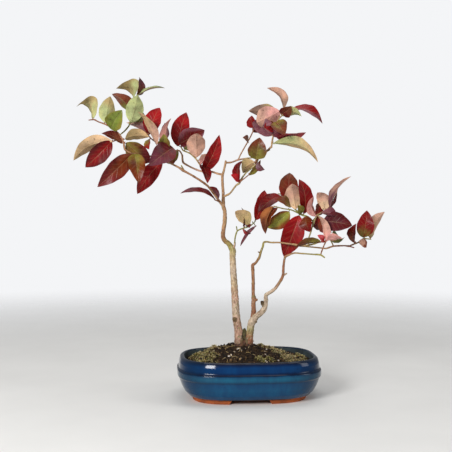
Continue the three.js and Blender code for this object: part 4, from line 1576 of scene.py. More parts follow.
    def lump(
        self, skin: Skin, place: Vector, size: float, tint: Colour, draw: random.Random, fine: bool = True
    ) -> None:
        """Adds an uneven grain.

        Args:
            skin: the mesh that it joins.
            place: its middle.
            size: its mean radius.
            tint: its colour.
            draw: the seeded source of numbers.
            fine: whether it has more faces.
        """
        ball = bmesh.new()
        bmesh.ops.create_icosphere(ball, subdivisions=2 if fine else 1, radius=1.0)
        turn = Quaternion([draw.uniform(-1, 1) for _ in range(3)], draw.uniform(0, 6.28))
        squeeze = [draw.uniform(low, high) for low, high in ((0.75, 1.3), (0.7, 1.1), (0.5, 0.9))]
        shift = draw.uniform(0, 50)
        numbers = []
        for vertex in ball.verts:
            out = Vector(vertex.co)
            wide = 1 + 0.28 * noise.noise(out * 1.3 + Vector((shift, 0, 0)))
            corner = out * Vector(squeeze) * wide * size
            numbers.append(skin.point(place + turn @ corner, tint))
        for face in ball.faces:
            skin.face(*(numbers[v.index] for v in face.verts))
        ball.free()

    def build_crumbs(self, finish: Material) -> Object:
        """Scatters soil crumbs and bark chips over the mound.

        Args:
            finish: their material.

        Returns:
            The crumbs in one piece.
        """
        draw = random.Random(11)
        skin = Skin()
        shades = [colour_of(code) for code, _ in self.crumb_shades]
        weights = [weight for _, weight in self.crumb_shades]
        for i in range(self.crumbs):
            x, y = self.spot(draw)
            if math.hypot((x - self.stems_x) / self.stems_half[0], y / self.stems_half[1]) < 1:
                continue
            size = draw.uniform(*(self.fine_crumb if i % self.coarse_every else self.coarse_crumb))
            shade = draw.choices(shades, weights)[0]
            self.lump(skin, self.on_top(x, y, size * 0.25), size, shade, draw, size > 1.1)
        made = skin.build("soil_crumbs", [finish], 40.0)
        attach(made, "root")
        return made

    def on_slope(self, across: float, up: float) -> Vector:
        """Finds where a line of sight meets the mound.

        Args:
            across: the reading across.
            up: the reading up.

        Returns:
            The nearest place on the mound along that line.
        """
        for step in range(self.sight_steps):
            place = VIEW.place(across, up, self.sight_start + step * self.sight_step)
            if self.share_at(place.x, place.y) < 1 and place.z <= self.height_at(place.x, place.y):
                return place
        return VIEW.place(across, up, 0.0)

    def build_grit(self, finish: Material) -> Object:
        """Places the white grit where it shows, and some more by chance.

        Args:
            finish: its material.

        Returns:
            The grit in one piece.
        """
        draw = random.Random(5)
        skin = Skin()
        for across, up, size in self.grit:
            self.lump(skin, self.on_slope(across, up), size, self.grit_white, draw)
        for _ in range(self.loose_grit):
            x, y = self.spot(draw)
            size = draw.uniform(0.4, 1.0)
            tint = blend(self.grit_white, self.grit_brown, draw.random())
            self.lump(skin, self.on_top(x, y, 0.3), size, tint, draw)
        made = skin.build("white_grit", [finish], 40.0)
        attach(made, "root")
        return made

    def build_straw(self, finish: Material) -> Object:
        """Scatters dry fibres and bits of straw.

        Args:
            finish: their material.

        Returns:
            The straw in one piece.
        """
        draw = random.Random(21)
        skin = Skin()
        shades = [colour_of(code) for code in self.straw_shades]
        for _ in range(self.straws):
            x, y = self.spot(draw)
            turn, length = draw.uniform(0, 6.28), draw.uniform(*self.straw_length)
            bend = draw.uniform(-0.5, 0.5)
            tone = draw.choice(shades)
            knots = []
            for i in range(6):
                t = i / 5
                ahead, aside = length * (t - 0.5), bend * 4 * t * (1 - t) * length * 0.3
                px = x + ahead * math.cos(turn) - aside * math.sin(turn)
                py = y + ahead * math.sin(turn) + aside * math.cos(turn)
                if self.share_at(px, py) > self.rim_share:
                    break
                lift = 0.4 + draw.uniform(0.0, 0.5) + 0.8 * t * (1 - t)
                radius = self.straw_radius * (1.1 - 0.5 * t)
                knots.append(Knot(self.on_top(px, py, lift), radius, length * t))
            if len(knots) > 2:
                Stem((tone, blend(tone, shades[0], 0.5)), 5, 0.0).grow(skin, knots)
        made = skin.build("dry_fibres", [finish], 50.0)
        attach(made, "root")
        return made

    def grow_tuft(self, skin: Skin, base: Vector, dry: float, draw: random.Random) -> None:
        """Adds one tuft of pointed moss blades.

        Args:
            skin: the mesh that it joins.
            base: where it grows.
            dry: how yellow it is, from 0 to 1.
            draw: the seeded source of numbers.
        """
        # Each blade runs from this dark colour at its base to its own colour at the tip: painted shade down
        # between the blades. The same colour darkens some whole tufts at random.
        deep = self.moss_shade_and_dark_tone
        tint = blend(self.moss_fresh, self.moss_dry, dry + draw.uniform(-0.35, 0.35))
        tint = blend(tint, deep, draw.random() ** 2 * 0.8)
        fleck = draw.random()
        if fleck < self.flecked:
            tint = self.moss_cream if fleck < self.creamy else self.moss_rust
        for _ in range(self.blades_a_tuft):
            turn = draw.uniform(0, 2 * math.pi)
            out = Vector((math.cos(turn), math.sin(turn), 0))
            flank = Vector((-out.y, out.x, 0)) * draw.uniform(0.16, 0.28)
            tall = draw.uniform(*self.blade_height)
            middle = base + out * 0.35 * tall + UP * tall * 0.6
            tip = base + out * draw.uniform(0.5, 0.95) * tall + UP * tall * draw.uniform(0.6, 1.1)
            a, b = skin.point(base - flank, deep), skin.point(base + flank, deep)
            half = blend(deep, tint, 0.7)
            c, d = skin.point(middle + flank, half), skin.point(middle - flank, half)
            skin.face(a, b, c, d)
            skin.face(d, c, skin.point(tip, tint))

    def build_moss(self, finish: Material) -> Object:
        """Grows the moss cushions from small pointed tufts.

        Args:
            finish: their material.

        Returns:
            The moss in one piece.
        """
        draw = random.Random(31)
        skin = Skin()
        for clump in self.clumps:
            for _ in range(int(math.pi * clump.half_x * clump.half_y * self.tufts_a_square_mm)):
                x = clump.x + draw.uniform(-1, 1) * clump.half_x
                y = clump.y + draw.uniform(-1, 1) * clump.half_y
                inside = clump.share(x, y)
                if inside <= draw.random() * 0.3 or self.share_at(x, y) > self.rim_share:
                    continue
                patch = noise.fractal(Vector((x * 0.4, y * 0.4, 2.0)), 0.8, 2.0, 3)
                if patch < -0.22:
                    continue
                self.grow_tuft(skin, self.on_top(x, y, -0.2), clump.dry + 0.8 * patch, draw)
        made = skin.build("moss", [finish], 180.0)
        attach(made, "root")
        return made


@dataclass(frozen=True)
class Lamp:
    """A soft rectangular light: its place and size in metres and its power in watts."""

    name: str
    place: Triple
    size: tuple[float, float]
    watts: float

    def hang(self, aim: Vector) -> None:
        """Adds the light, pointed at a place.

        Args:
            aim: that place, in metres.
        """
        light = bpy.data.lights.new(self.name, "AREA")
        light.shape = "RECTANGLE"
        light.size, light.size_y = self.size
        light.energy = self.watts
        made = bpy.data.objects.new(self.name, light)
        made.location = self.place
        made.rotation_euler = (aim - Vector(self.place)).to_track_quat("-Z", "Y").to_euler()
        bpy.context.scene.collection.objects.link(made)


@dataclass(frozen=True)
class Studio:
    """A pale floor, a pale room, soft lights and the camera."""

    floor_half: float = 1.6
    fade: tuple[float, float] = (0.3, 1.5)
    floor_colour: int = 0xE4E3E0
    room_colour: int = 0xF4F5F7
    room_light: float = 0.3
    backdrop_light: float = 1.0
    aim: Triple = (0.0, 0.0, 0.15)
    lamps: tuple[Lamp, ...] = (
        Lamp("window", (-0.72, -1.05, 0.62), (0.42, 0.4), 17.0),
        Lamp("side_window", (1.3, -0.5, 0.75), (0.5, 0.9), 5.0),
        Lamp("ceiling", (0.1, 0.25, 1.5), (1.2, 1.2), 7.5),
    )

    def build_floor(self) -> None:
        """Lays the floor, which isn't part of the object."""
        g = Graph("pale_floor")
        place = g.position()
        stops = [(0.3, 0.97), (0.7, 1.02)]
        away = g.node("ShaderNodeVectorMath", {0: place}, operation="LENGTH").outputs["Value"]
        g.tree.links.new(g.span(away, *self.fade, 1.0, 0.0), g.shader.inputs["Alpha"])
        pale = g.shaded(colour_of(self.floor_colour), 1.0, g.cloud(place, 9.0, 3.0), stops)
        finish = g.finish(pale, 0.6, Specular_IOR_Level=0.1)
        mesh = bpy.data.meshes.new("floor")
        h = self.floor_half
        mesh.from_pydata([(-h, -h, 0), (h, -h, 0), (h, h, 0), (-h, h, 0)], [], [(0, 1, 2, 3)])
        mesh.materials.append(finish)
        floor = bpy.data.objects.new("floor", mesh)
        bpy.context.scene.collection.objects.link(floor)

    def build_room(self) -> None:
        """Lights everything evenly from a pale surround."""
        world = bpy.data.worlds.new("pale_room")
        world.use_nodes = True
        tree = world.node_tree
        sky = next(n for n in tree.nodes if n.type == "BACKGROUND")
        sky.inputs["Color"].default_value = (*colour_of(self.room_colour), 1.0)
        path = tree.nodes.new("ShaderNodeLightPath")
        level = tree.nodes.new("ShaderNodeMapRange")
        level.inputs["To Min"].default_value = self.room_light
        level.inputs["To Max"].default_value = self.backdrop_light
        tree.links.new(path.outputs["Is Camera Ray"], level.inputs["Value"])
        tree.links.new(level.outputs[0], sky.inputs["Strength"])
        bpy.context.scene.world = world

    def build_camera(self) -> None:
        """Puts the camera at the viewpoint."""
        lens = bpy.data.cameras.new("camera")
        lens.sensor_width = 36.0
        lens.lens = VIEW.lens
        lens.clip_start = 0.01
        made = bpy.data.objects.new("camera", lens)
        level = VIEW.spin @ Vector((VIEW.across, -VIEW.distance, VIEW.up))
        made.location = (level + ORIGIN) * MM
        made.rotation_euler = (math.pi / 2, 0.0, -math.radians(VIEW.turn))
        bpy.context.scene.collection.objects.link(made)
        bpy.context.scene.camera = made

    def build(self) -> None:
        """Builds the whole setting."""
        bpy.context.scene.view_settings.view_transform = "Standard"
        self.build_floor()
        self.build_room()
        self.build_camera()
        for lamp in self.lamps:
            lamp.hang(Vector(self.aim))


WOOD = Trunk((
    Limb(
        "left stem",
        (
            (-9.6, 51, 0, 4.6), (-10, 57, 0, 5.2), (-10.3, 63, 0, 4.7), (-10.6, 70, -0.5, 4.5),
            (-12, 78, -1, 4.3), (-13.4, 90, -1, 4.1), (-14, 100, -0.5, 3.9), (-14.7, 112, 0, 3.8),
            (-15.5, 125, 1, 3.6), (-16.5, 140, 2, 3.4), (-17, 150, 3, 3.3), (-17, 158, 3.5, 3.6),
            (-21, 165, 4, 2.8), (-26, 169, 4.5, 2.5), (-27.5, 174, 5, 2.3), (-27, 180, 5, 2.2),
            (-25.5, 190, 5.5, 2.3), (-25.5, 200, 6, 2.1), (-27, 206, 6, 2.1), (-27.3, 220, 5.5, 1.6),
            (-28, 232, 5, 1.5), (-28, 240, 4.5, 1.5), (-26.5, 245, 4, 1.2), (-25, 252, 3.5, 1.2),
            (-24.5, 255.5, 3.5, 1.1),
        ),
        tones=(
            Bark.DARK, Bark.PINK_TAN, Bark.PINK_TAN, Bark.OLD_GREY, Bark.PINK_TAN, Bark.PALE,
            Bark.OLD_GREY, Bark.PALE, Bark.OLIVE, Bark.BROWN, Bark.TAN, Bark.TAN, Bark.BROWN, Bark.TAN,
            Bark.TAN, Bark.TAN,
        ),
        sides=24, lumps=0.12, age=1.0,
    ),
    Limb(
        "left knot",
        ((-13.4, 82.5, -1.5, 3.2), (-14.6, 82.8, -4.4, 3.1), (-15.2, 83, -5.6, 1.9)),
        tones=(Bark.PINK_TAN, Bark.PINK_TAN, Bark.SHADE),
        sides=18, lumps=0.2, age=0.3,
    ),
    # The cleft's dark tones are partly painted shade between the two stems and partly the dark moss in the
    # fork.
    Limb(
        "cleft",
        ((-4.2, 51, 0.5, 4.6), (-4.2, 60, 0.3, 3.9), (-4.2, 67, 0.2, 3.2), (-4, 72.5, 0, 1.3)),
        tones=(Bark.DARK, Bark.DARK, Bark.MOSSY, Bark.MOSSY),
        sides=22, lumps=0.3, age=0.3,
    ),
    Limb(
        "fork stub",
        ((-17, 156, 3.5, 1.6), (-14.8, 164, 1.5, 1.2), (-14.6, 167, 1, 1)),
        tones=(Bark.BROWN, Bark.OLD_GREY),
        sides=12, lumps=0.1, age=0.3,
    ),
    Limb(
        "low left branch",
        (
            (-27, 206, 6, 1.8), (-31, 211, 3, 1.4), (-37, 219, -2, 1.2), (-44, 228, -7, 1.2),
            (-52, 234, -11, 1.2), (-60, 239, -13, 1.1), (-68, 243.5, -14, 1.2), (-70.5, 244.8, -14, 1.5),
            (-76, 248.5, -13, 1.1), (-85, 253, -11, 1), (-94, 257, -8, 1),
        ),
        tones=(Bark.TAN, Bark.BROWN, Bark.TAN),
        sides=12, lumps=0.06, age=0.3, rings=14.0,
    ),
    Limb(
        "low left spur",
        ((-70, 244.8, -14, 1), (-73, 250.5, -16, 0.7)),
        tones=(Bark.RED_BROWN, Bark.OLIVE),
        sides=9, lumps=0.05,
    ),
    Limb(
        "high left branch",
        (
            (-28, 240.5, 4.5, 1.4), (-33, 241.5, 7, 1.1), (-39, 243.5, 10, 1.1), (-47, 243.5, 13, 1.2),
            (-54, 245, 16, 1.1), (-60, 247.5, 18, 1), (-66, 250.5, 20, 1), (-71, 254, 21, 1.2),
            (-72, 262, 20, 1),
        ),
        tones=(Bark.TAN, Bark.PINK_TAN, Bark.TAN),
        sides=12, lumps=0.06, age=0.3, rings=13.0,
    ),
    Limb(
        "high right branch",
        (
            (-24.7, 253.5, 3.5, 1.1), (-18, 254, 6, 0.9), (-11, 256.7, 8.5, 1), (0, 258.5, 13, 0.8),
            (5, 259, 15, 0.7),
        ),
        tones=(Bark.TAN, Bark.PINK_TAN, Bark.OLIVE),
        sides=10, lumps=0.05, rings=11.0,
    ),
    Limb(
        "middle branch",
        (
            (-27, 216.5, 5.6, 1.3), (-20, 220, 1, 1), (-13, 229, -4, 1), (-10, 231, -5.5, 1.3),
            (-6, 238, -8, 0.9), (-2, 243, -10, 0.9), (8, 252, -14, 1.1), (12, 260, -16, 0.9),
            (17, 264, -17.5, 0.9), (22, 268, -19, 0.9), (25.5, 271, -20, 1.3),
        ),
        tones=(Bark.TAN, Bark.YELLOW, Bark.TAN),
        sides=12, lumps=0.06, age=0.3, rings=13.0,
    ),
    Limb(
        "middle stub",
        ((23.5, 267.8, -19, 0.8), (20, 265.3, -20.5, 0.6)),
        tones=(Bark.BROWN, Bark.OLD_GREY),
        sides=9, lumps=0.05,
    ),
    Limb(
        "right stem",
        (
            (0.6, 51, 0, 4.2), (0.8, 57, -1, 4.6), (1.2, 64, -1.2, 4.2), (2.3, 71, -1.5, 3.9),
            (3.2, 77, -2, 3.9), (5.5, 82.5, -2.2, 4), (9.5, 86.5, -3.4, 3.3), (13.6, 89.5, -5, 3),
            (17.4, 94, -6.4, 2.9), (19.2, 99.5, -7.4, 2.4),
        ),
        tones=(
            Bark.DARK, Bark.RED_BROWN, Bark.BROWN, Bark.YELLOW, Bark.OLD_GREY, Bark.OLD_GREY,
            Bark.OLD_GREY, Bark.OLD_GREY, Bark.OLD_GREY,
        ),
        sides=22, lumps=0.14, age=0.9,
    ),
    Limb(
        "right stub",
        ((4.5, 80.3, -2, 2.4), (9.2, 79.8, -4.5, 1)),
        tones=(Bark.OLD_GREY, Bark.SHADE),
        sides=14, lumps=0.1, age=0.3,
    ),
    Limb(
        "cut knob",
        ((17.5, 97, -7, 2.4), (15.4, 101, -8, 2.3), (14.6, 102, -8.4, 1.5)),
        tones=(Bark.OLD_GREY, Bark.SHADE, Bark.DARK),
        sides=14, lumps=0.12, age=0.2,
    ),
    Limb(
        "inner stem",
        (
            (5.2, 84, -2, 2.9), (6, 92, -1, 2.6), (5.7, 100, 0, 2.4), (6.2, 105, 1, 2.6),
            (5.5, 110, 1.5, 1.9), (5.5, 125, 2.5, 1.8), (5, 138, 3, 1.8), (5, 142, 3, 1.9),
            (8, 144, 2.5, 1.4), (12, 150, 1.8, 1.4), (14, 157, 1, 1.3), (16, 162, 0.5, 1.1),
            (17, 166.5, 0, 1.2), (20, 167.3, -0.5, 1), (25, 166.5, -1, 0.9), (34, 166.5, -2, 0.9),
            (45, 165, -4, 0.9), (50, 164.5, -5, 1.1), (60, 163, -6, 0.9), (68, 164, -7, 0.9),
            (75, 166, -8, 0.9),
        ),
        tones=(
            Bark.RED_BROWN, Bark.BROWN, Bark.BROWN, Bark.BROWN, Bark.OLIVE, Bark.TAN, Bark.TAN, Bark.OLIVE,
        ),
        sides=14, lumps=0.07, age=0.6, rings=15.0,
    ),
    Limb(
        "inner stub",
        ((6, 103, 1, 2.1), (9.6, 104.3, 0, 1.4)),
        tones=(Bark.RED_BROWN, Bark.BROWN),
        sides=12, lumps=0.1, age=0.2,
    ),
    Limb(
        "inner bud",
        ((13.6, 155, 1, 0.9), (10.8, 156.3, 0, 0.6)),
        tones=(Bark.GREEN, Bark.RED_BROWN),
        sides=9, lumps=0.03,
    ),
    Limb(
        "outer stem",
        (
            (18.6, 96, -7.2, 2.4), (19.4, 103, -8, 2.3), (19.4, 109, -8.5, 2.1), (26, 113.4, -10, 1.8),
            (30, 117, -11, 1.7), (36, 126, -13, 1.5), (38, 131, -14.3, 1.6), (38.5, 140, -15, 1.3),
            (39.5, 148, -16, 1.2), (40.5, 151, -17, 1.4), (44, 152.7, -18, 1), (50, 155, -20, 0.9),
            (58, 154.5, -22, 0.8), (72, 153.5, -26, 0.8), (79, 153, -27, 1), (83.5, 150, -29, 0.7),
        ),
        tones=(Bark.OLD_GREY, Bark.OLD_GREY, Bark.BROWN, Bark.RED_BROWN, Bark.TAN, Bark.OLIVE, Bark.OLIVE),
        sides=16, lumps=0.08, age=0.8, rings=15.0,
    ),
    Limb(
        "outer stub",
        ((38, 130.5, -14, 1.2), (42, 132.8, -15.5, 0.8)),
        tones=(Bark.TAN, Bark.OLD_GREY),
        sides=10, lumps=0.08, age=0.3,
    ),
    Limb(
        "low right twig",
        (
            (49, 164.6, -5, 1.1), (54, 163, -3.5, 0.9), (62, 162.3, -1.5, 0.8), (80, 160.5, 3, 0.8),
            (85, 160, 4, 0.9), (93, 162.5, 7, 1), (105, 163, 11, 0.8), (110, 162.5, 13, 1.1),
        ),
        tones=(Bark.OLIVE, Bark.TAN, Bark.RED_BROWN),
        sides=11, lumps=0.05, rings=12.0,
    ),
    Limb(
        "low right bud",
        ((110, 162.5, 13, 0.8), (115.5, 160.8, 15, 0.6)),
        tones=(Bark.RED_BROWN, Bark.RED),
        sides=9, lumps=0.03,
    ),
    Limb(
        "yellow twig",
        (
            (66, 163.8, -6.7, 1), (66, 171, -6, 0.8), (68, 177, -5, 0.8), (70, 184, -4, 0.8),
            (72, 190, -3, 1.1),
        ),
        tones=(Bark.YELLOW, Bark.YELLOW),
        sides=11, lumps=0.05, rings=10.0,
    ),
    # The two flanks' dark tones, like the cleft's, are partly painted shade between the stems and partly the
    # dark moss in the fork.
    Limb(
        "left flank of the cleft",
        ((-8, 52, -2.5, 3.4), (-7.4, 60, -2.2, 2.6), (-6.2, 66, -1.6, 1.9), (-5, 71.5, -0.8, 1)),
        tones=(Bark.DARK, Bark.SHADE, Bark.DARK, Bark.MOSSY),
        sides=16, lumps=0.3, age=0.4,
    ),
    Limb(
        "right flank of the cleft",
        ((-0.6, 52, -3, 3.4), (-1.4, 60, -2.6, 2.6), (-2.6, 66, -1.6, 1.9), (-3.6, 71.5, -0.8, 1)),
        tones=(Bark.DARK, Bark.SHADE, Bark.DARK, Bark.MOSSY),
        sides=16, lumps=0.3, age=0.4,
    ),
))

SHOOTS = (
    Shoot(
        "shoot_left_leader",
        (
            (
                (-94, 257, -8, 0.8), (-104, 260, -8, 0.9), (-118, 262.5, -15, 0.9), (-128, 264, -24, 0.9),
                (-134.5, 268, -26, 1), (-136, 276, -25, 0.9), (-140, 284, -24, 0.9), (-148, 291, -22, 0.8),
                (-156, 295.5, -20, 0.8), (-163, 298, -18.5, 0.7), (-168, 300.5, -18, 0.8),
                (-174, 300, -17, 0.5),
            ),
            ((-138.5, 281, -24.5, 0.7), (-143, 278.5, -26, 0.7), (-148, 276.7, -28, 0.7)),
        ),
        (
            Leaf(-94, 255.5, -121, 219.5, 8, 20, Side.UPPER, 10, 5, Tint.CRIMSON, Tint.DARK_RED),
            Leaf(-127.5, 262.5, -164.5, 227, -12, 21, Side.UPPER, -14, 6, Tint.RUST, Tint.WINE),
            Leaf(-124, 263, -119.5, 231, -20, 19, Side.UPPER, -14, 5, Tint.OLIVE, Tint.RUST, turn=0.4),
            Leaf(-133, 275.5, -107, 254, 18, 22, Side.UPPER, 12, 4, Tint.OLIVE, Tint.WINE, turn=0.3),
            Leaf(-134, 280, -108, 281.5, 12, 17, Side.UNDER, 48, 4, Tint.OLIVE_TAN, Tint.TAN),
            Leaf(-137.5, 274.5, -160, 285.5, -4, 15, Side.UPPER, 50, 3, Tint.BROWN, Tint.MAROON),
            Leaf(-148, 276.5, -190.5, 256, -10, 20, Side.UNDER, -46, 11, Tint.LIGHT_TAN, Tint.TAN),
            Leaf(-149, 277, -177.5, 248.5, 4, 20, Side.UPPER, -14, 6,
                Tint.DARK_RED, Tint.MAROON, Pattern.EDGE),
            Leaf(-168.5, 302, -187, 315, -6, 22, Side.UNDER, -50, 14,
                Tint.PALE_GREEN, Tint.OLIVE_TAN, turn=0.4, peak=0.6),
            Leaf(-155.5, 297, -150.5, 326, -4, 18, Side.UNDER, 18, 4,
                Tint.PALE_GREEN, Tint.OLIVE_TAN, turn=0.6),
            Leaf(-150, 290.5, -137.5, 311, -14, 20, Side.UPPER, 0, 3,
                Tint.LEAF_GREEN, Tint.OLIVE, Pattern.EDGE),
        ),
        (Bark.TAN, Bark.RED_BROWN),
    ),
    Shoot(
        "shoot_left_crown",
        (
            (
                (-140, 284, -24, 0.6), (-135, 288, -18, 0.8), (-130, 294, -11, 0.8), (-128, 302, -4, 0.8),
                (-125.5, 313, 3, 0.7), (-122, 325, 8, 0.7), (-120.5, 329, 9, 0.5),
            ),
        ),
        (
            Leaf(-128, 308, -148.5, 328.5, 6, 18, Side.UPPER, 40, 5, Tint.LEAF_GREEN, Tint.BROWN, turn=0.35),
            Leaf(-127.5, 297, -120.5, 327, -14, 20, Side.UNDER, 8, 4, Tint.PALE_GREEN, Tint.PALE_GREEN),
            Leaf(-125.5, 322, -144, 334.5, 3, 24, Side.UNDER, -46, 16,
                Tint.PALE_GREEN, Tint.OLIVE_TAN, peak=0.56),
            Leaf(-121, 327, -119, 347, 7, 15, Side.UPPER, 64, 3, Tint.BROWN, Tint.PLUM),
            Leaf(-120, 327, -91, 335, 2, 15, Side.UPPER, -70, 3, Tint.PALE_GREEN, Tint.DARK_GREEN),
            Leaf(-127.5, 300.5, -112.5, 305, 22, 12, Side.UPPER, 10, 3, Tint.DARK_GREEN, Tint.OLIVE), ),
        (Bark.OLIVE, Bark.GREEN),
    ),
    Shoot(
        "shoot_left_inner",
        (
            (
                (-72, 262, 20, 0.8), (-75, 266.5, 10, 0.9), (-82, 267, -2, 0.8), (-90, 269, -4, 0.8),
                (-99, 275, -3, 0.8), (-106, 280, -3, 0.7), (-112, 287, -4, 0.7),
            ),
        ),
        (
            Leaf(-100, 273, -120, 309, -28, 15, Side.UNDER, -50, 4, Tint.PINK_TAN, Tint.TAN),
            Leaf(-108, 284.5, -96.5, 313.5, 6, 21, Side.UPPER, -14, 4, Tint.MAROON, Tint.CRIMSON, turn=0.35),
            Leaf(-97, 276, -90.5, 297, 22, 13, Side.UPPER, 48, 3, Tint.PLUM, Tint.MAUVE),
            Leaf(-88.5, 269, -84, 302, -14, 15, Side.UNDER, 64, 5, Tint.SALMON, Tint.SALMON),
            Leaf(-93, 270, -92, 285, -14, 14, Side.UPPER, 18, 3, Tint.BROWN, Tint.OLIVE),
            Leaf(-107, 280, -108, 268, -14, 12, Side.UPPER, 45, 2, Tint.OLIVE, Tint.CRIMSON),
            Leaf(-112, 287, -133, 297, 8, 15, Side.UPPER, 52, 3, Tint.MAUVE, Tint.PINK_TAN),
            Leaf(-108, 284, -117, 299, 20, 12, Side.UPPER, 12, 3, Tint.DARK_RED, Tint.MAROON),
            Leaf(-82, 270, -108.5, 250, -26, 24, Side.UPPER, 0, 5, Tint.WINE, Tint.PLUM),
            Leaf(-76, 265, -96, 257, -8, 16, Side.UPPER, -46, 3, Tint.OLIVE, Tint.DARK_RED),
        ),
        (Bark.TAN, Bark.RED_BROWN),
    ),
    Shoot(
        "shoot_left_back",
        (
            (
                (-47, 243.5, 13, 0.8), (-53, 252, 17, 0.9), (-58, 259, 21, 0.9), (-64, 264, 25, 0.8),
                (-71, 267, 30, 0.8), (-73.5, 271, 32, 0.6),
            ),
            ((-55, 255, 18.5, 0.6), (-51.5, 259.5, 16, 0.5)),
        ),
        (
            Leaf(-77, 271.5, -67.5, 308.5, 8, 22, Side.UPPER, -12, 4, Tint.DARK_RED, Tint.CRIMSON),
            # This leaf's mauve edges are partly its own colour and partly a painted sheen.
            Leaf(-75, 274, -47.5, 289, -6, 24, Side.UPPER, 6, 5, Tint.WINE, Tint.MAUVE, Pattern.EDGE),
            Leaf(-56, 259.5, -56.5, 285.5, -20, 22, Side.UNDER, 8, 4, Tint.PINK_TAN, Tint.PINK_TAN),
            Leaf(-48.5, 245, -31.5, 284, -16, 18, Side.UPPER, 28, 5, Tint.DARK_RED, Tint.CRIMSON),
            Leaf(-51, 251, -44.5, 231, -30, 14, Side.UPPER, -40, 3, Tint.MAROON, Tint.DARK_RED),
            Leaf(-52, 252, -38, 261, -16, 13, Side.UNDER, 56, 3, Tint.SALMON, Tint.PINK_TAN),
            Leaf(-69, 268, -63.5, 273.5, -12, 7, Side.UPPER, 35, 1, Tint.OLIVE, Tint.LEAF_GREEN), ),
        (Bark.TAN, Bark.OLIVE),
    ),
    Shoot(
        "shoot_left_low",
        (((-31, 211, 3, 0.8), (-33.5, 212, -2, 0.9), (-36.5, 213, -6, 0.6)),),
        (
            Leaf(-36, 213.5, -74, 220, -10, 16, Side.UPPER, 66, 6, Tint.WINE, Tint.PLUM),
            Leaf(-32.5, 214, -42, 227.5, -8, 11, Side.UPPER, 58, 2, Tint.MAUVE, Tint.WINE),
        ),
        (Bark.RED_BROWN, Bark.BROWN),
    ),
    Shoot(
        "shoot_middle_low",
        (((-10, 231, -5.5, 0.7), (-8, 233.5, -9, 0.8), (-4, 236.5, -11, 0.6), (2, 241.5, -13, 0.5)),),
        (
            Leaf(-9.5, 234, -5, 256, 4, 16, Side.UPPER, -58, 5, Tint.DARK_RED, Tint.MAROON),
            Leaf(-9.5, 233.5, -19, 240.5, -8, 9, Side.UPPER, 30, 1, Tint.SCARLET, Tint.SCARLET),
            Leaf(0.5, 240, 13.5, 256.5, 10, 8, Side.UPPER, 40, 2, Tint.OLIVE, Tint.BROWN), ),
        (Bark.RED_BROWN, Bark.BROWN),
    ),
    Shoot(
        "shoot_middle",
        (((8, 252, -14, 0.8), (8.5, 254.5, -17, 1), (8.5, 257, -19.5, 0.7)),),
        (
            Leaf(8, 257.5, 12.5, 281, -8, 21, Side.UPPER, 0, 5, Tint.OLIVE, Tint.BROWN),
            Leaf(7, 254, -6, 243, -10, 16, Side.UNDER, -42, 4, Tint.TAN, Tint.OLIVE_TAN),
            Leaf(9.5, 253, 18, 246, -6, 10, Side.UPPER, 48, 2, Tint.GREY_PURPLE, Tint.PLUM), ),
        (Bark.RED_BROWN, Bark.BROWN),
    ),
    Shoot(
        "shoot_high_right",
        (
            (
                (-11, 256.7, 8.5, 0.7), (-8, 263, 10, 0.7), (-3, 272, 13, 0.7), (0, 277, 15, 0.7),
                (4, 285, 17, 0.7), (7, 292, 18, 0.6),
            ),
        ),
        (
            Leaf(-0.5, 276.5, -6, 281, -10, 10, Side.UPPER, 40, 2, Tint.GREY_BROWN, Tint.BROWN),
            Leaf(6.5, 291.5, 4, 305, -6, 13, Side.UPPER, -30, 3, Tint.CRIMSON, Tint.DARK_RED),
            Leaf(5, 287, 13, 299, 14, 15, Side.UPPER, 20, 3, Tint.MAROON, Tint.PLUM), ),
        (Bark.TAN, Bark.RED_BROWN),
    ),
    Shoot(
        "shoot_top",
        (
            (
                (25.5, 271, -20, 0.8), (26, 276, -22, 1), (27.5, 284, -22, 0.9), (28.5, 291, -20, 0.9),
                (31, 297, -18, 0.8), (34, 302, -16, 0.8), (38, 306, -14, 0.8), (43, 308.5, -12, 0.7),
                (46.5, 310.5, -11, 0.5),
            ),
        ),
        (
            Leaf(27.5, 274.5, 76, 254, -12, 18, Side.UNDER, 58, 12, Tint.PALE_GREEN, Tint.TAN, turn=0.45),
            Leaf(29.5, 283, 63, 286.5, 8, 15, Side.UPPER, 56, 3, Tint.PINK_RED, Tint.PINK_RED),
            Leaf(25.5, 283, 5, 298, 8, 20, Side.UPPER, 14, 5, Tint.MAUVE, Tint.PLUM),
            Leaf(27, 283.5, 41, 289, -4, 16, Side.UPPER, -30, 3, Tint.PLUM, Tint.WINE),
            Leaf(27, 289, 19, 291, -12, 7, Side.UPPER, 10, 1, Tint.SCARLET, Tint.SCARLET),
            Leaf(30, 298, 40, 283.5, -22, 18, Side.UPPER, -6, 3, Tint.OLIVE, Tint.BROWN, turn=0.4),
            Leaf(28.5, 297, 17, 291.5, -5, 9, Side.UPPER, 20, 1, Tint.BROWN, Tint.DARK_RED),
            Leaf(35, 309.5, 9.5, 297, -16, 25, Side.UNDER, -8, 4, Tint.SALMON, Tint.PINK_TAN),
            Leaf(32, 306, 0.5, 310, 8, 17, Side.UNDER, -30, 4, Tint.OLIVE_TAN, Tint.GREY_BROWN),
            Leaf(38, 311, 20.5, 335, 4, 17, Side.UNDER, -64, 9, Tint.GREY_BROWN, Tint.PINK_TAN),
            Leaf(36, 307, 47, 315, -8, 14, Side.UPPER, 26, 3, Tint.WINE, Tint.BROWN),
            Leaf(46.5, 311, 81, 296, -8, 18, Side.UPPER, -48, 8, Tint.DARK_RED, Tint.MAUVE, Pattern.SPLIT),
            Leaf(37, 304.5, 58, 304, -12, 15, Side.UNDER, 58, 6, Tint.OLIVE_TAN, Tint.PALE_GREEN), ),
        (Bark.TAN, Bark.YELLOW),
    ),
    Shoot(
        "shoot_centre",
        (
            (
                (-14.8, 165, 1.2, 0.6), (-14.2, 172, -4, 0.8), (-12, 179, -6, 0.8), (-8, 181.2, -8, 0.7),
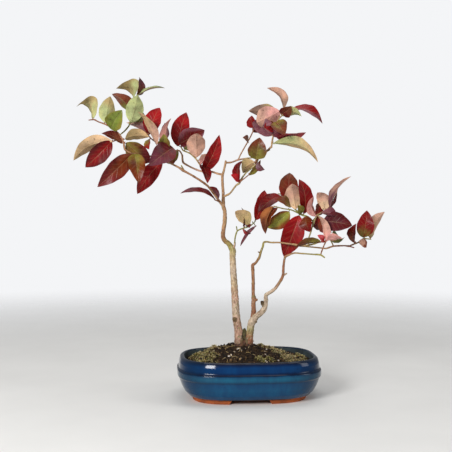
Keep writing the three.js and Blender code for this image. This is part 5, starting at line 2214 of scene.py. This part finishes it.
                (-5, 182, -9, 0.7), (1, 184, -10, 0.7), (4, 186, -8, 0.6), (8, 190, -4, 0.5),
            ),
            ((-12, 179, -6, 0.6), (-12.8, 184, -6, 0.6)),
        ),
        (
            Leaf(1, 185.5, -14, 200.5, -8, 17, Side.UNDER, -28, 4, Tint.OLIVE_TAN, Tint.TAN),
            Leaf(-5.5, 184, -7.5, 204.5, 9, 10, Side.UPPER, 60, 3, Tint.WINE, Tint.MAROON),
            Leaf(-2, 184, 3, 187, -12, 5, Side.UPPER, 30, 1, Tint.BROWN, Tint.DARK_RED),
            Leaf(-6, 181, 3, 176.5, -6, 8, Side.UPPER, 56, 1, Tint.CRIMSON, Tint.PLUM),
            Leaf(9, 185, -8.5, 162.5, -8, 11, Side.UPPER, 70, 1, Tint.MAUVE, Tint.PLUM),
            Leaf(8, 191, 18, 223.5, 18, 17, Side.UPPER, 18, 4, Tint.DARK_RED, Tint.CRIMSON),
        ),
        (Bark.OLIVE, Bark.GREEN),
    ),
    Shoot(
        "shoot_right_hub",
        (
            (
                (71.5, 189, -3, 0.7), (66, 194, -1, 0.9), (58, 197, 0, 1.1), (52, 202, 2, 0.8),
                (44, 210, 5, 0.8), (38, 218, 8, 0.7), (32.5, 220, 9, 0.5),
            ),
            ((57, 197.5, 0, 0.8), (47, 202, -3, 0.7), (38, 203.5, -6, 0.7), (28, 206, -9, 0.6)),
        ),
        (
            Leaf(55.5, 196, 39, 151, 10, 25, Side.UPPER, 0, 6, Tint.CRIMSON, Tint.DARK_RED),
            Leaf(45, 200, 21, 182.5, 10, 19, Side.UPPER, -14, 4, Tint.YELLOW_GREEN, Tint.RUST, Pattern.EDGE),
            Leaf(32, 204, 20, 183, 2, 15, Side.UPPER, 56, 4, Tint.RUST, Tint.DARK_RED, Pattern.SPLIT),
            Leaf(27, 206, 19, 176, -14, 17, Side.UNDER, -42, 4, Tint.ORANGE, Tint.BROWN),
            Leaf(36, 217, 11, 199, -16, 18, Side.UPPER, 38, 5, Tint.DARK_RED, Tint.MAROON),
            Leaf(46, 206, 30, 213, -14, 14, Side.UPPER, 40, 3, Tint.OLIVE, Tint.BROWN),
            Leaf(44, 211, 45, 242.5, 12, 22, Side.UPPER, -8, 5, Tint.DARK_RED, Tint.BROWN),
            Leaf(52, 203, 48, 230.5, -15, 20, Side.UNDER, 0, 4, Tint.LIGHT_TAN, Tint.PINK_TAN),
            Leaf(61, 198, 55.5, 235.5, 8, 20, Side.UPPER, 30, 6, Tint.DARK_RED, Tint.DARK_RED),
            Leaf(58, 198, 54, 207, -12, 11, Side.UPPER, 26, 1, Tint.YELLOW_GREEN, Tint.OLIVE),
            Leaf(63, 195, 67.5, 178, -4, 16, Side.UPPER, 34, 3, Tint.RUST, Tint.DARK_RED), ),
        (Bark.GREEN, Bark.YELLOW),
    ),
    Shoot(
        "shoot_right_top",
        (
            (
                (72, 190, -3, 0.8), (75, 196, -4, 0.8), (78, 198, -4.5, 0.9), (84, 201, -5, 0.8),
                (89, 203.5, -5, 0.6),
            ),
            ((76, 196.5, -4, 0.7), (79.5, 191, -8, 0.7), (83, 184.5, -12, 0.6)),
        ),
        (
            Leaf(74, 195, 71, 216.5, -8, 16, Side.UNDER, 52, 4, Tint.SALMON, Tint.SALMON),
            Leaf(74.5, 196, 76, 209, 6, 13, Side.UPPER, 36, 2, Tint.DARK_RED, Tint.MAROON),
            Leaf(84, 202, 75.5, 221, -4, 17, Side.UNDER, -32, 5, Tint.LIGHT_TAN, Tint.PINK_TAN),
            Leaf(85, 202.5, 97, 229, 17, 12, Side.UPPER, 70, 3, Tint.WINE, Tint.MAROON),
            Leaf(89, 204.5, 112, 238.5, -8, 17, Side.UNDER, 62, 5, Tint.MAUVE, Tint.PINK_TAN),
            Leaf(80, 199, 97, 194, -14, 15, Side.UPPER, -46, 3, Tint.MAUVE, Tint.PLUM),
            Leaf(81.5, 189.5, 113.5, 185, -10, 22, Side.UPPER, -12, 5, Tint.PLUM, Tint.MAROON),
            Leaf(80, 192, 91, 177, -4, 16, Side.UPPER, 44, 3, Tint.BROWN, Tint.WINE),
            Leaf(77, 196, 75.5, 180, 17, 13, Side.UPPER, 20, 2, Tint.DARK_RED, Tint.WINE), ),
        (Bark.YELLOW, Bark.RED_BROWN),
    ),
    Shoot(
        "shoot_right_low",
        (((79, 153, -27, 0.7), (81, 159, -26, 0.7), (83, 164, -25, 0.7), (85, 168, -24, 0.7)),),
        (
            Leaf(84.5, 168.5, 77.5, 195.5, 2, 15, Side.UNDER, -62, 3, Tint.SALMON, Tint.PINK_TAN),
            Leaf(85.5, 168.5, 103, 170.5, -6, 13, Side.UNDER, 56, 2, Tint.SALMON, Tint.SALMON),
            Leaf(82.5, 167, 75.5, 174.5, -5, 9, Side.UPPER, 40, 1, Tint.CRIMSON, Tint.PINK_RED), ),
        (Bark.RED_BROWN, Bark.BROWN),
    ),
    Shoot(
        "shoot_right_middle",
        (((75, 166, -8, 0.7), (80, 167.3, -9.5, 0.8), (83, 168, -10, 0.6)),),
        (
            Leaf(78.5, 168, 50, 160, -17, 12, Side.UNDER, -52, 3, Tint.OLIVE, Tint.BROWN), ),
        (Bark.RED_BROWN, Bark.BROWN),
    ),
    Shoot(
        "shoot_right_spur",
        (((93, 162.5, 7, 0.7), (91.5, 166, 5, 0.7), (89, 170, 3, 0.6)),),
        (
            Leaf(90, 170, 105, 172, 2, 10, Side.UPPER, 62, 2, Tint.OLIVE, Tint.DARK_GREEN),
            Leaf(90.5, 169, 94, 180, 8, 12, Side.UPPER, 40, 2, Tint.OLIVE, Tint.DARK_GREEN),
        ),
        (Bark.RED_BROWN, Bark.GREEN),
    ),
    Shoot(
        "shoot_far_right",
        (
            (
                (110, 162.5, 13, 0.8), (116, 165, 15, 0.9), (120, 166.5, 17, 0.8), (125.5, 170.5, 19, 0.9),
                (130, 170.5, 20, 0.7), (134, 170, 21, 0.6),
            ),
        ),
        (
            Leaf(125.5, 172, 129.5, 201.5, -4, 20, Side.UPPER, -4, 5,
                Tint.LEAF_GREEN, Tint.DARK_RED, turn=0.2),
            Leaf(116, 166, 118, 187, -6, 15, Side.UPPER, -60, 4, Tint.RUST, Tint.DARK_RED),
            Leaf(133, 171, 149, 200, 4, 18, Side.UNDER, 32, 6, Tint.OLIVE_TAN, Tint.PINK_TAN),
            Leaf(120.5, 167.5, 129, 161.5, -8, 11, Side.UNDER, 44, 2, Tint.PINK_TAN, Tint.RUST), ),
        (Bark.RED_BROWN, Bark.OLIVE),
    ),
)


def main() -> None:
    """Builds the bonsai and its setting, and reports each piece."""
    logging.basicConfig(level=logging.INFO, format="%(name)s: %(message)s")
    blade, bark = LeafFinish().build(), BarkFinish().build()
    pot = Pot()
    soil = Soil(pot)
    made = [
        pot.build(GlazeFinish().build(), ClayFinish("bare_clay", 0xA8572B, 0x7C3F22).build(),
                  ClayFinish("inner_clay", 0x2F3A3C, 0x1C2426).build()),
        soil.build_mound(GroundFinish("damp_soil", 420.0, 0.9, 0.0012).build()),
        soil.build_crumbs(GroundFinish("soil_crumb", 900.0, 0.85, 0.0005).build()),
        soil.build_grit(GroundFinish("white_grit", 800.0, 0.7, 0.0003).build()),
        soil.build_straw(GroundFinish("dry_fibre", 900.0, 0.7, 0.0002).build()),
        soil.build_moss(GroundFinish("moss_leaf", 600.0, 0.75, 0.0003).build()),
        WOOD.build(bark),
    ]
    shape = BladeShape()
    for number, shoot in enumerate(SHOOTS):
        made.append(shoot.build(shape, (blade, bark), number))
    plastic = PlasticFinish().build()
    for name in ("drain_screen_left", "drain_screen_right"):
        screen = bpy.data.objects[name]
        screen.material_slots[0].material = plastic
    Studio().build()
    for piece in made:
        LOG.info("%s: %d faces", piece.name, len(piece.data.polygons))


if __name__ == "__main__":
    main()
